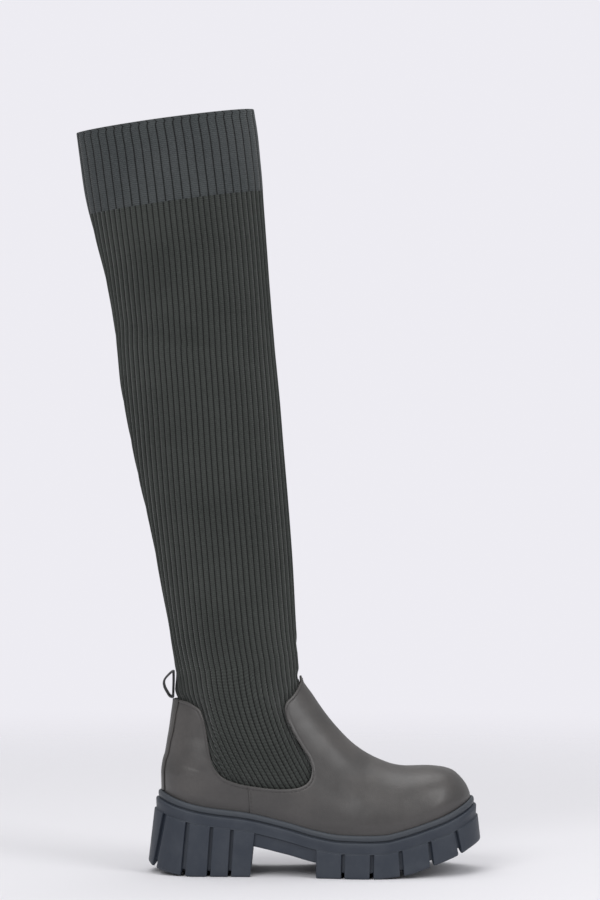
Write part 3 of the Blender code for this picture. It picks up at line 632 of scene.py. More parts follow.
def stations():
    """Shares from back to front, closer at both ends, with close ones at the side seam."""
    u = (1 - np.cos(np.pi * np.linspace(0, 1, STATIONS))) / 2
    seam = smooth(SEAM_ALONG, EDGE["rand"], edge_shares())
    near = SEAM_HALF * np.array([-4, -2, -1.2, -0.6, 0, 0.6, 1.2, 2, 4])
    return np.unique(np.concatenate([u[np.abs(u - seam) > 5 * SEAM_HALF], seam + near]))


def edge_points():
    x = place(EDGE["along"])
    z = CUT_OUT_BOTTOM + EDGE["counter"] * (COUNTER_TOP - CUT_OUT_BOTTOM)
    z = z + EDGE["vamp"] * (VAMP_TIP - CUT_OUT_BOTTOM)
    return np.column_stack([x, z])


def edge_shares():
    """Where each row of EDGE stands between back and front, by the lengths of edge and rand."""
    edge = np.hypot(*np.diff(edge_points(), axis=0).T)
    rand = np.diff(EDGE["rand"]) * LAST_LENGTH
    gone = np.concatenate([[0], np.cumsum(edge + rand)])
    return gone / gone[-1]


U = stations()


def cut_edge():
    """Side-view edge of the leather at each station."""
    points = edge_points()
    points[0] = shaft_end(0, -1)
    points[-1] = shaft_end(0, 1)
    return np.column_stack([smooth(U, edge_shares(), points[:, i]) for i in range(2)])


def rand_line(height):
    """Side-view line along the rand at each station, at a function of x."""
    x = place(smooth(U, edge_shares(), EDGE["rand"]))
    return np.column_stack([x, height(x)])


def profile(line, low, high, count):
    """Part of a profile line between two side-view points."""
    first = np.hypot(*(line[:, :2] - low).T).argmin()
    last = np.hypot(*(line[:, :2] - high).T).argmin()
    part = line[first : last + 1, :2].copy()
    part[0], part[-1] = low, high
    gone = np.concatenate([[0], np.cumsum(np.hypot(*np.diff(part, axis=0).T))])
    at = np.linspace(0, gone[-1], count)
    return np.column_stack([np.interp(at, gone, part[:, i]) for i in range(2)])


def plan_offset(ring, out):
    """Ring of points moved outwards in plan."""
    around = np.roll(ring, -1, 0) - np.roll(ring, 1, 0)
    normal = np.column_stack([around[:, 1], -around[:, 0], np.zeros(len(ring))])
    normal /= np.linalg.norm(normal, axis=1, keepdims=True)
    return ring + normal * np.asarray(out).reshape(-1, 1)


def crease_depth(side_view, side):
    """How far the creases push the leather in, at side-view points on one side of the foot."""
    depth = np.zeros(side_view.shape[:2])
    for i in range(len(CREASES["x"])):
        if CREASES["side"][i] * side < 0:
            continue
        turn = math.radians(CREASES["angle"][i])
        dx = side_view[..., 0] - CREASES["x"][i]
        dz = side_view[..., 1] - CREASES["z"][i]
        run = (dx * math.cos(turn) + dz * math.sin(turn)) / CREASES["long"][i]
        off = (dz * math.cos(turn) - dx * math.sin(turn)) / CREASES["wide"][i]
        depth += CREASES["depth"][i] * np.exp(-(run**2) - off**2)
    return depth


def both_sides(half_grid):
    """A value at each point of a closed ring, from its values between back and front."""
    return np.concatenate([half_grid, half_grid[:, -2:0:-1]], 1)


def make_mesh(name, vertices, faces, uv=None, vertex_normals=None):
    """A smooth mesh object. uv is one pair for each vertex."""
    mesh = bpy.data.meshes.new(name)
    faces = faces.tolist() if isinstance(faces, np.ndarray) else faces
    mesh.from_pydata(np.asarray(vertices, float).tolist(), [], faces)
    mesh.shade_smooth()
    if uv is not None:
        corner = np.empty(len(mesh.loops), np.int32)
        mesh.loops.foreach_get("vertex_index", corner)
        layer = mesh.uv_layers.new(name="knit")
        layer.data.foreach_set("uv", np.asarray(uv, np.float32)[corner].ravel())
    if vertex_normals is not None:
        mesh.normals_split_custom_set_from_vertices(np.asarray(vertex_normals, float).tolist())
    made = bpy.data.objects.new(name, mesh)
    bpy.context.scene.collection.objects.link(made)
    return made


def ring_faces(rows, around, join_rows):
    """Quads between closed rings. join_rows also joins the last ring to the first."""
    row = np.arange(rows if join_rows else rows - 1)
    i, j = np.meshgrid(row, np.arange(around), indexing="ij")
    right, above = (j + 1) % around, (i + 1) % rows
    corners = [i * around + j, i * around + right, above * around + right, above * around + j]
    return np.stack(corners, -1).reshape(-1, 4)


def welded(made, distance=2e-6):
    """Joins points that coincide, and turns all faces outwards."""
    shaped = bmesh.new()
    shaped.from_mesh(made.data)
    bmesh.ops.remove_doubles(shaped, verts=shaped.verts, dist=distance)
    bmesh.ops.recalc_face_normals(shaped, faces=shaped.faces)
    shaped.to_mesh(made.data)
    shaped.free()
    return made


def leather_grid():
    """Rings of the foot: one on the sole, then from the top of the rand to the cut edge. The last
    rings stand at the shares of TUCK that EDGE_SHARES gives."""
    low = rand_line(lambda x: sole_top(x) + GAP)
    rand = rand_line(lambda x: rand_top(x) + GAP)
    edge = cut_edge()
    count = 3 * LEATHER_ROWS
    back = profile(BACK_LINE, rand[0], edge[0], count)
    front = profile(FRONT_LINE, rand[-1], edge[-1], count)
    fine = filled(rand, edge, back, front)
    tall = np.linalg.norm(np.diff(fine, axis=0), axis=-1).sum(0)
    covered = np.clip(TUCK / tall, 0, MOST_COVERED)
    at = [part * (1 - covered) for part in np.linspace(0, 1, LEATHER_ROWS)]
    at = np.array(at + [1 - covered * part for part in EDGE_SHARES]) * (count - 1)
    below = np.minimum(at.astype(int), count - 2)
    part = (at - below)[..., None]
    column = np.arange(len(U))[None]
    rows = fine[below, column] * (1 - part) + fine[below + 1, column] * part
    return np.concatenate([low[None], rows])


FOOT_GRID = leather_grid()


def edge_distance(side_view):
    """Distance of side-view points from the cut edge of the leather."""
    apart, _, _ = nearest_on(side_view.reshape(-1, 2), cut_edge())
    return apart.reshape(side_view.shape[:2])


def make_upper():
    """The leather foot: vamp over counter at the side seam, a folded edge and soft creases."""
    side_view = leather_grid()
    rings = skin(side_view)
    seam = smooth(SEAM_ALONG, EDGE["rand"], edge_shares())
    step = VAMP_STEP * ease((U - seam + SEAM_HALF) / (2 * SEAM_HALF))
    low = ease((side_view[..., 1] - rand_top(side_view[..., 0])) / FEATHER_RISE)
    apart = edge_distance(side_view)
    fold = FOLD_PROUD * np.exp(-(((apart - EDGE_STITCH / 2) / (EDGE_STITCH / 2)) ** 2))
    pulled = FOLD_PROUD * np.exp(-(((apart - EDGE_STITCH) / THREAD) ** 2) / 4)
    proud = step[None] + (fold - pulled) * low
    sides = [proud - crease_depth(side_view, side) * low for side in (-1, 1)]
    proud = np.concatenate([sides[0], sides[1][:, -2:0:-1]], 1)
    outer = moved(rings, proud)
    outer[0] = level(outer[0], rings[0], 0.0)
    inner = moved(rings, both_sides(np.tile(step, (len(rings), 1))) - LEATHER)
    inner[0] = level(inner[0], rings[0], 0.0)
    up = outer[-1] - outer[-2]
    up *= LEATHER / 4 / np.linalg.norm(up, axis=1, keepdims=True)
    lip = np.stack([outer[-1] * (1 - t) + inner[-1] * t + up * rise for t, rise in LIP])
    back = inner[::-1][:: len(inner) // 12]
    every = np.concatenate([outer, lip, inner[-1:], back[1:-1], inner[:1]])
    around = every.shape[1]
    made = make_mesh("leather_foot", every.reshape(-1, 3), ring_faces(len(every), around, True))
    return made, outer, normals(rings)


def level(ring, on, rise):
    """The ring with each point at the height of another ring's point, and a rise."""
    placed = ring.copy()
    placed[:, 2] = on[:, 2] + rise
    return placed


def rib_shift(z):
    """How far forwards the ribs of the gore stand at a height, from where they leave the leg."""
    heights = np.linspace(RIB_SLOPE_HEIGHT[0], RIB_SLOPE_HEIGHT[-1], LINE_POINTS)
    slope = smooth(heights, RIB_SLOPE_HEIGHT, RIB_SLOPE)
    gone = np.cumsum(slope[::-1])[::-1] * (heights[1] - heights[0])
    return np.interp(z, heights, gone)


def rib_numbers(side_view, ankle):
    """Number of ribs from the front of the leg round to each point. Below row ankle they are
    counted on that row, at the place that a point's rib leaves it."""
    half, _ = form(side_view)
    half[:, [0, -1]] = 0
    points = np.dstack([side_view, half])
    apart = np.linalg.norm(np.diff(points, axis=1), axis=-1)
    around = np.concatenate([np.cumsum(apart[:, ::-1], 1)[:, ::-1], np.zeros((len(apart), 1))], 1)
    x = side_view[..., 0] - rib_shift(side_view[..., 1])
    numbers = np.empty(x.shape)
    for row in range(len(x)):
        known = max(row, ankle)
        known_x = side_view[known, :, 0]
        beyond = np.maximum(known_x[0] - x[row], 0)
        numbers[row] = np.interp(x[row], known_x, around[known]) + beyond
    return numbers / RIB_PITCH, around


def cord(number, sharp):
    """Depth of a rib's section, 0 on its top and 1 in the gap, at a number of ribs."""
    return (0.5 + 0.5 * np.cos(2 * np.pi * number)) ** sharp


def make_knit():
    """Outer rings of the whole knit, with its ribs: under the leather, over the gore, up the leg
    and up the cuff. Cut by rows into three pieces that share their border's normals."""
    margin = FOOT_GRID[-len(EDGE_SHARES) :]
    at_ankle = smooth(U, edge_shares(), EDGE["ankle"])
    ankle_back, ankle_front = shaft_end(ANKLE_START, -1), shaft_end(ANKLE_START, 1)
    ankle = ankle_back + np.outer(at_ankle, ankle_front - ankle_back)
    sides = [shaft_end(np.linspace(0, ANKLE_START, GORE_ROWS), side) for side in (-1, 1)]
    gore = filled(cut_edge(), ankle, *sides)[1:]
    leg_up = np.linspace(ANKLE_START, CUFF_START, LEG_ROWS)[1:]
    step_up = CUFF_START + CUFF_STEP / LEG_BACK
    cuff_up = np.linspace(step_up, 1, CUFF_ROWS)
    up = np.concatenate([leg_up, cuff_up])
    back, front = shaft_end(up, -1)[:, None], shaft_end(up, 1)[:, None]
    across = (at_ankle + np.outer(up, U - at_ankle))[..., None]
    leg = back * (1 - across) + front * across
    side_view = np.concatenate([margin, gore, leg])
    ankle_row = len(margin) + len(gore) - 1
    cuff_row = ankle_row + LEG_ROWS
    numbers, around = rib_numbers(side_view, ankle_row)
    from_back = around[:, :1] - around
    seam = np.exp(-((from_back / BACK_SEAM) ** 2))
    seam[: len(margin)] = 0
    depth = RIB_DEPTH * cord(numbers, 1.4)
    depth[cuff_row:] = CUFF_RIB_DEPTH * cord(numbers[cuff_row:] / CUFF_RIB, 1.8) - CUFF_STEP
    depth = np.maximum(depth, BACK_SEAM_DEPTH * seam)
    apart = np.full(side_view.shape[:2], TUCK)
    apart[: len(margin)] = 0
    apart[len(margin) : ankle_row] = edge_distance(gore[:-1])
    sunk = (LEATHER + GAP) * (1 - ease(apart / TUCK))
    rings = skin(side_view, round_ends=True)
    outer = moved(rings, both_sides(-depth - sunk))
    inner = moved(rings, both_sides(-sunk - KNIT))
    along = np.linalg.norm(np.diff(rings, axis=0), axis=-1).mean(1)
    height = np.concatenate([[0], np.cumsum(along)]) / STITCH_PITCH
    uv = np.stack([both_sides(numbers), np.tile(height[:, None], (1, rings.shape[1]))], -1)
    return outer, inner, normals(outer), uv, ankle_row, cuff_row


def knit_piece(name, rows, knit, rim):
    """A closed wall of knit between two rows. rim is how far its top rolls over."""
    outer, inner, out_normals, uv = (part[rows[0] : rows[1] + 1] for part in knit)
    every = max(1, len(outer) // 12)
    keep = np.unique(np.append(np.arange(0, len(inner), every), len(inner) - 1))[::-1]
    top = []
    if rim:
        up = np.array([0, 0, rim])
        top = [outer[-1] * (1 - t) + inner[-1] * t + up * rise for t, rise in LIP]
    lip = np.array(top).reshape(-1, outer.shape[1], 3)
    rings = np.concatenate([outer, lip, inner[keep]])
    in_normals = -normals(inner[keep[::-1]])[::-1]
    lip_normals = np.tile([0.0, 0.0, 1.0], (len(lip), outer.shape[1], 1))
    every_normal = np.concatenate([out_normals, lip_normals, in_normals])
    every_uv = np.concatenate([uv, np.tile(uv[-1:], (len(lip), 1, 1)), uv[keep]])
    faces = ring_faces(len(rings), rings.shape[1], True)
    flat = every_normal.reshape(-1, 3)
    return make_mesh(name, rings.reshape(-1, 3), faces, every_uv.reshape(-1, 2), flat)


def fillet(gap, radius):
    """Depth of a rounded edge at a distance from it."""
    near = np.clip(radius - gap, 0, radius)
    return radius - np.sqrt(radius**2 - near**2)


def sole_stations():
    """X of the sole's columns at the tops of its lugs, with close ones round each edge."""
    middle, reach = (place(0) + place(1)) / 2, LAST_LENGTH / 2
    x = middle - reach * np.cos(np.pi * np.linspace(0, 1, SOLE_STATIONS))
    walls = [(HEEL_BREAST, 1), (FORE_START, -1)]
    for along in GROOVES["along"]:
        walls += [(place(along) - GROOVE_WIDTH / 2, 1), (place(along) + GROOVE_WIDTH / 2, -1)]
    for wall, inward in walls:
        x = x[np.abs(x - wall) > 1.2 * LUG_ROUND]
        near = wall - inward * LUG_ROUND * np.array([1.0, 0.6, 0.3, 0.1, 0.0, -0.05, -0.6])
        x = np.concatenate([x, near])
    return np.unique(np.round(x, 7))


def sole_columns(x):
    """For each column: how far in its side stands, how far up its tread, whether it is in the
    waist, and its lean."""
    inward, lift = np.zeros(len(x)), np.zeros(len(x))
    for along in GROOVES["along"]:
        gap = np.abs(x - place(along)) - GROOVE_WIDTH / 2
        edge = fillet(gap, LUG_ROUND)
        inward = np.maximum(inward, np.where(gap < 0, GROOVE_DEPTH, edge))
        lift = np.maximum(lift, np.where(gap < 0, TREAD_DEPTH, edge))
    gap = np.maximum(HEEL_BREAST - x, x - FORE_START)
    waist = gap < 0
    inward = np.maximum(inward, fillet(gap, LUG_ROUND))
    lift = np.maximum(lift, fillet(gap, LUG_ROUND))
    lift = np.where(waist, sole_top(x) - WAIST_THICK - tread(x), lift)
    walls = np.concatenate([place(GROOVES["along"]), [HEEL_BREAST, FORE_START]])
    leans = np.concatenate([GROOVES["lean"], [BREAST_LEAN, 0.0]])
    order = np.argsort(walls)
    ends = np.concatenate([[place(0)], walls[order], [place(1)]])
    lean = np.interp(x, ends, np.concatenate([[0], leans[order], [0]]))
    return inward, lift, waist, lean


def outline_ring(x, z):
    """Outline of the upper where it stands on the sole, at given x, with given heights."""
    x = np.clip(x, place(0), place(1))
    half, middle = form(np.column_stack([x, sole_top(x) + GAP])[None])
    half[0, [0, -1]] = 0
    outer = np.column_stack([x, middle[0] - half[0], z])
    inner = np.column_stack([x, middle[0] + half[0], z])
    return np.concatenate([outer, inner[-2:0:-1]])


def whole(values):
    """Values at the columns of both sides of a ring."""
    return np.concatenate([values, values[-2:0:-1]])


def across_rows(ring, shares):
    """Rings between a ring and the middle line of the sole."""
    count = len(ring) // 2 + 1
    other = np.concatenate([[0], np.arange(len(ring) - 1, 0, -1)])
    middle = (ring + ring[other]) / 2
    assert count * 2 - 2 == len(ring)
    return [ring * t + middle * (1 - t) for t in shares]


def make_outsole():
    """Foot bed, notch under the rand, recessed band, and lugs with rounded edges and grooves."""
    x = sole_stations()
    inward, lift, waist, lean = sole_columns(x)
    top = sole_top(x)
    bottom = tread(x) + lift
    behind = ease((-x - BEVEL_START) / (HEEL_BACK - BEVEL_START))
    ahead = ease((share(x) - TOE_FLARE_START) / (1 - TOE_FLARE_START))
    flare = SIDE_FLARE + HEEL_FLARE * behind + TOE_FLARE * ahead
    flare = np.where(waist, 0, flare)
    step = np.where(waist, -2 * GAP, LUG_STEP)
    bed = outline_ring(x, top - GAP)
    rings = across_rows(bed, (0.0, 0.5, 0.9))
    for drop, out in BAND_SIDE:
        ring = outline_ring(x, top - GAP - drop * BAND_HEIGHT)
        rings.append(plan_offset(ring, VAMP_STEP + out * WALL_OUT))
    start = top - BAND_HEIGHT
    tall = start - bottom
    for down, rounded in LUG_TOP:
        z = start - GAP - down * STEP_ROUND
        out = step - fillet(np.full(len(x), rounded * STEP_ROUND), STEP_ROUND)
        out = np.where(down == 0, np.minimum(out, 0), out - inward)
        rings.append(plan_offset(outline_ring(x, z), VAMP_STEP + WALL_OUT + whole(out)))
    for share_down in np.linspace(0.12, 1, 14):
        z = start - STEP_ROUND - share_down * (tall - STEP_ROUND - TREAD_ROUND)
        out = step - inward + flare * share_down
        ring = outline_ring(x + lean * (start - z), z)
        rings.append(plan_offset(ring, VAMP_STEP + WALL_OUT + whole(out)))
    for above in TREAD_ROUND * np.array([0.6, 0.3, 0.1, 0.0]):
        z = bottom + above
        out = step - inward + flare - fillet(np.full(len(x), above), TREAD_ROUND)
        ring = outline_ring(x + lean * (start - z), z)
        rings.append(plan_offset(ring, VAMP_STEP + WALL_OUT + whole(out)))
    rings += across_rows(rings[-1], (0.97, 0.9, 0.8, 0.65, 0.5, 0.35, 0.2, 0.0))
    rings = np.array(rings)
    faces = ring_faces(len(rings), rings.shape[1], False)
    made = welded(make_mesh("lug_sole", rings.reshape(-1, 3), faces))
    made.data.shade_smooth()
    made.data.set_sharp_from_angle(angle=math.radians(CREASE_ANGLE))
    return made


def make_rand():
    """The strip round the foot, rounded at its top."""
    x = sole_stations()
    base = outline_ring(x, sole_top(x))
    against = plan_offset(base, VAMP_STEP * whole(ease((share(x) - SEAM_ALONG) / 0.004)) + GAP)
    rings = [against]
    for up, out in RAND_SECTION:
        ring = plan_offset(base, VAMP_STEP + out * RAND_OUT)
        rings.append(ring + [0, 0, up * RAND_HEIGHT])
    rings.append(against + [0, 0, RAND_HEIGHT])
    rings = np.array(rings)
    faces = ring_faces(len(rings), rings.shape[1], True)
    return welded(make_mesh("rand_strip", rings.reshape(-1, 3), faces))


def make_back_strip():
    """The strip up the counter's back, with thinned edges."""
    low, high = float(rand_top(-HEEL_BACK)) + GAP, COUNTER_TOP - GAP
    across = np.linspace(-1, 1, 23)
    y = across * STRIP_HALF_WIDTH
    thick = STRIP_THICK * (1 - np.abs(across) ** 8 * 0.6)
    rings = []
    for z in np.linspace(low, high, 50):
        line_x = np.interp(z, BACK_LINE[:, 1], BACK_LINE[:, 0])
        known = line_x + np.linspace(0, 1, 60) ** 2 * STRIP_HALF_WIDTH
        half, _ = form(np.column_stack([known, np.full(len(known), z)])[None])
        x = np.interp(np.abs(y), half[0], known)
        slope = np.gradient(x, y)
        tilt = np.hypot(1, slope)
        for out in (np.full(len(y), GAP), GAP + thick):
            rings.append(np.column_stack([x - out / tilt, y + out * slope / tilt, np.full(len(y), z)]))
    rings = [np.vstack([rings[i], rings[i + 1][::-1]]) for i in range(0, len(rings), 2)]
    rings = np.array(rings)
    count, around = rings.shape[:2]
    faces = ring_faces(count, around, False).tolist()
    for base in (0, (count - 1) * around):
        for i in range(len(across) - 1):
            faces.append([base + k for k in (i, i + 1, around - i - 2, around - i - 1)])
    made = welded(make_mesh("back_seam_strip", rings.reshape(-1, 3), faces))
    made.data.set_sharp_from_angle(angle=math.radians(CREASE_ANGLE))
    return made


def make_pull_loop():
    """A folded strap bent into a D behind the ankle."""
    at = np.linspace(0, 1, 40)
    out_up = np.linspace(0, 1, len(LOOP_BULGE["up"]))
    flat = np.linspace(0, 1, 14)[:-1]
    up = np.concatenate([flat, smooth(at, out_up, LOOP_BULGE["up"])[::-1][:-1]])
    out = np.concatenate([0 * flat, smooth(at, out_up, LOOP_BULGE["out"])[::-1][:-1]])
    z = COUNTER_TOP + GAP + LOOP_THICK / 2 + up * (LOOP_HEIGHT - LOOP_THICK)
    x = np.interp(z, BACK_LINE[:, 1], BACK_LINE[:, 0]) - GAP - LOOP_THICK / 2
    path = np.column_stack([x - out * (LOOP_DEPTH - LOOP_THICK), z])
    run = np.roll(path, -1, 0) - np.roll(path, 1, 0)
    side = np.column_stack([run[:, 1], -run[:, 0]]) / np.linalg.norm(run, axis=1, keepdims=True)
    rings = []
    for turn in np.linspace(0, 2 * np.pi, 33)[:-1]:
        y = LOOP_WIDTH / 2 * np.sign(math.cos(turn)) * abs(math.cos(turn)) ** 0.35
        face = np.sign(math.sin(turn)) * abs(math.sin(turn)) ** 0.7
        edge = path + side * face * LOOP_THICK / 2
        rings.append(np.insert(edge, 1, y, axis=1))
    rings = np.array(rings)
    faces = ring_faces(len(rings), rings.shape[1], True)
    return welded(make_mesh("strap_loop", rings.reshape(-1, 3), faces))


def stitches(name, rows):
    """Short threads along rows of surface points. Each row is (points, normals)."""
    vertices, faces = [], []
    for points, outward in rows:
        gone = np.concatenate([[0], np.cumsum(np.linalg.norm(np.diff(points, axis=0), axis=1))])
        starts = np.arange(THREAD_PITCH / 2, gone[-1] - THREAD_LENGTH, THREAD_PITCH)
        for first in starts:
            at = first + THREAD_LENGTH * np.array([0.0, 0.12, 0.5, 0.88, 1.0])
            centre = np.column_stack([np.interp(at, gone, points[:, i]) for i in range(3)])
            normal = np.column_stack([np.interp(at, gone, outward[:, i]) for i in range(3)])
            normal /= np.linalg.norm(normal, axis=1, keepdims=True)
            run = centre[-1] - centre[0]
            across = np.cross(normal, run / np.linalg.norm(run))
            rise = THREAD * np.array([-0.9, 0.1, 0.55, 0.1, -0.9])
            width = THREAD * np.array([0.35, 0.9, 1.0, 0.9, 0.35])
            base = len(vertices)
            for k in range(len(at)):
                for turn in np.linspace(0, 2 * np.pi, 7)[:-1]:
                    offset = math.cos(turn) * across[k] + math.sin(turn) * normal[k]
                    vertices.append(centre[k] + rise[k] * normal[k] + width[k] * offset)
            faces += (ring_faces(len(at), 6, False) + base).tolist()
            faces.append(list(range(base + 5, base - 1, -1)))
            faces.append(list(range(base + 24, base + 30)))
    made = make_mesh(name, vertices, faces)
    return welded(made, 1e-7)


def stitch_rows(outer, outward):
    """Rows of stitches beside the cut edge, all round it, and ahead of both side seams."""
    row = len(outer) - 1 - int(np.argmin(np.abs(np.array(EDGE_SHARES[::-1]) * TUCK - EDGE_STITCH)))
    half = len(U)
    seam = smooth(SEAM_ALONG, EDGE["rand"], edge_shares())
    rows = [(np.vstack([outer[row], outer[row, :1]]), np.vstack([outward[row], outward[row, :1]]))]
    middle = outer[len(outer) // 2]
    apart = np.linalg.norm(np.diff(middle[:half], axis=0), axis=1)
    at_seam = int(np.abs(U - seam).argmin())
    ahead = at_seam + int(np.searchsorted(np.cumsum(apart[at_seam:]), SEAM_STITCH))
    for column in (ahead, -ahead):
        rows.append((outer[3:row, column], outward[3:row, column]))
    return rows


class Nodes:
    """Short ways to add and join the nodes of one material."""

    def __init__(self, name):
        self.material = bpy.data.materials.new(name)
        self.material.use_nodes = True
        self.tree = self.material.node_tree
        self.shader = self.tree.nodes["Principled BSDF"]

    def put(self, socket, value):
        if isinstance(value, bpy.types.NodeSocket):
            self.tree.links.new(value, socket)
        else:
            socket.default_value = value

    def add(self, kind, output=0, **inputs):
        """A node with its inputs set or joined. Names in lower case set the node's properties."""
        made = self.tree.nodes.new("ShaderNode" + kind)
        for name, value in inputs.items():
            if name.islower():
                setattr(made, name, value)
        for name, value in inputs.items():
            if not name.islower():
                self.put(made.inputs[name.replace("_", " ")], value)
        return made.outputs[output]

    def math(self, operation, *values):
        made = self.tree.nodes.new("ShaderNodeMath")
        made.operation = operation
        for socket, value in zip(made.inputs, values):
            self.put(socket, value)
        return made.outputs[0]

    def ramp(self, value, low, high, to_low=0.0, to_high=1.0):
        made = self.tree.nodes.new("ShaderNodeMapRange")
        made.interpolation_type = "SMOOTHSTEP"
        for socket, item in zip(made.inputs, (value, low, high, to_low, to_high)):
            self.put(socket, item)
        return made.outputs[0]

    def mix(self, share, first, second):
        made = self.tree.nodes.new("ShaderNodeMix")
        made.data_type = "RGBA"
        self.put(made.inputs["Factor"], share)
        for name, value in (("A", first), ("B", second)):
            sockets = [s for s in made.inputs if s.name == name and s.type == "RGBA"]
            self.put(sockets[0], value)
        return next(s for s in made.outputs if s.type == "RGBA")

    def noise(self, scale, detail=2.0, rough=0.5, vector=None):
        made = self.tree.nodes.new("ShaderNodeTexNoise")
        made.inputs["Scale"].default_value = scale
        made.inputs["Detail"].default_value = detail
        made.inputs["Roughness"].default_value = rough
        self.put(made.inputs["Vector"], vector if vector else self.place())
        return made.outputs[0]

    def place(self):
        return self.add("TexCoord", "Object")

    def bump(self, height, distance, strength=1.0, below=None):
        made = self.tree.nodes.new("ShaderNodeBump")
        made.inputs["Strength"].default_value = strength
        made.inputs["Distance"].default_value = distance
        self.put(made.inputs["Height"], height)
        if below:
            self.put(made.inputs["Normal"], below)
        return made.outputs[0]

    def finish(self, colour, roughness, normal=None, **uniform):
        self.put(self.shader.inputs["Base Color"], colour)
        self.put(self.shader.inputs["Roughness"], roughness)
        if normal:
            self.put(self.shader.inputs["Normal"], normal)
        for name, value in uniform.items():
            self.shader.inputs[name.replace("_", " ")].default_value = value
        return self.material


def knit_material(name, ribs, light, dark, gap):
    """Knitted cords: rows of stitches along each rib, near-black painted shade in the gaps between them,
    painted shade in the hollows between the rows of stitches, and fuzz.
    """
    n = Nodes(name)
    split = n.tree.nodes.new("ShaderNodeSeparateXYZ")
    n.put(split.inputs[0], n.add("UVMap", uv_map="knit"))
    across = n.math("FRACT", n.math("MULTIPLY", split.outputs["X"], ribs))
    middle = n.math("ABSOLUTE", n.math("SUBTRACT", n.math("MULTIPLY", across, 2.0), 1.0))
    waver = n.math("MULTIPLY", n.math("SUBTRACT", n.noise(420.0), 0.5), 0.10)
    between = n.ramp(n.math("ADD", middle, waver), gap, 0.98)
    crown = n.math("SUBTRACT", 1.0, n.math("POWER", middle, 2.0))
    slant = n.math("ADD", split.outputs["Y"], n.math("MULTIPLY", middle, 0.45))
    stitch = n.math("SINE", n.math("MULTIPLY", slant, 2 * math.pi))
    leg = n.noise(14.0, 3.0)
    yarn = n.noise(900.0, 2.0, 0.7)
    tone = n.mix(n.ramp(leg, 0.35, 0.68), dark, light)
    tone = n.mix(n.ramp(yarn, 0.3, 0.75, 0.0, 0.45), tone, tuple(min(1, c * 1.9) for c in light[:3]) + (1,))
    # painted shade: darker in the hollow between one row of stitches and the next
    shade = n.ramp(stitch, -1.0, 0.3, 0.25, 0.0)
    # black is the colour of the painted shade in the hollows of the knit
    black = (*(c * 0.08 for c in dark[:3]), 1)
    tone = n.mix(shade, tone, black)
    # painted shade: near-black in the gaps between the cords, where the yarn lies in shade
    tone = n.mix(n.math("MULTIPLY", between, 0.96), tone, black)
    round_rib = n.bump(crown, 0.0009, 0.7)
    rows = n.bump(stitch, 0.00022, 0.8, round_rib)
    fuzz = n.bump(yarn, 0.00035, 0.6, rows)
    return n.finish(tone, 0.92, fuzz, Sheen_Weight=0.22, Sheen_Roughness=0.45, Specular_IOR_Level=0.25)


def leather_material(name, colour, low_colour, edge_dark):
    """Smooth coated leather: a fine grain, faint clouding, soft scuffs, and painted shade that darkens it
    low down near the sole.
    """
    n = Nodes(name)
    height = n.tree.nodes.new("ShaderNodeSeparateXYZ")
    n.put(height.inputs[0], n.place())
    cloud = n.noise(26.0, 3.0)
    tone = n.mix(n.ramp(cloud, 0.3, 0.72), low_colour, colour)
    # painted shade: the leather darkens towards LEATHER_LOW below about 85 mm, near the sole, where less
    # light falls
    lower = n.ramp(height.outputs["Z"], 0.045, 0.085, 0.55, 0.0)
    tone = n.mix(lower, tone, low_colour)
    grain = n.tree.nodes.new("ShaderNodeTexVoronoi")
    grain.feature = "SMOOTH_F1"
    grain.inputs["Scale"].default_value = 1150.0
    n.put(grain.inputs["Vector"], n.place())
    pore = grain.outputs["Distance"]
    fine = n.noise(2600.0, 2.0)
    speck = n.ramp(n.noise(310.0, 3.0), 0.35, 0.75, 0.0, 0.16)
    tone = n.mix(speck, tone, edge_dark)
    creased = n.noise(75.0, 4.0, 0.6)
    rough = n.ramp(creased, 0.3, 0.75, 0.36, 0.47)
    normal = n.bump(pore, 0.00022, 0.35)
    normal = n.bump(fine, 0.0001, 0.3, normal)
    normal = n.bump(creased, 0.0009, 0.22, normal)
    return n.finish(tone, rough, normal, Specular_IOR_Level=0.5, Coat_Weight=0.12, Coat_Roughness=0.30)


def rubber_material(name, colour, paler):
    """Moulded rubber: satin, a fine tooth, a paler clouding, and paler towards its sharp edges."""
    n = Nodes(name)
    cloud = n.noise(60.0, 4.0, 0.6)
    tone = n.mix(n.ramp(cloud, 0.35, 0.8, 0.0, 0.5), colour, paler)
    edge = n.add("NewGeometry", "Pointiness")
    # paler towards the sharpest edges of the lugs and rims
    tone = n.mix(n.ramp(edge, 0.50, 0.58, 0.0, 0.35), tone, paler)
    tooth = n.noise(2200.0, 3.0, 0.7)
    wave = n.noise(140.0, 3.0)
    rough = n.ramp(cloud, 0.3, 0.8, 0.44, 0.60)
    normal = n.bump(tooth, 0.00016, 0.5)
    normal = n.bump(wave, 0.0004, 0.25, normal)
    return n.finish(tone, rough, normal, Specular_IOR_Level=0.42)


def tape_material(name, colour):
    """Folded leather strap with a painted highlight along its sharp edges."""
    n = Nodes(name)
    cloud = n.noise(220.0, 3.0)
    edge = n.add("NewGeometry", "Pointiness")
    # light is the colour of the clouding, and of the painted highlight on the edges
    light = (*(min(1, c * 4.5) for c in colour[:3]), 1)
    tone = n.mix(n.ramp(cloud, 0.3, 0.8, 0.0, 0.4), colour, light)
    # painted highlight: the strap's sharp edges turn much lighter, where light would catch them
    tone = n.mix(n.ramp(edge, 0.505, 0.56, 0.0, 0.75), tone, light)
    normal = n.bump(n.noise(1500.0, 2.0), 0.0002, 0.5)
    return n.finish(tone, 0.45, normal, Specular_IOR_Level=0.5)


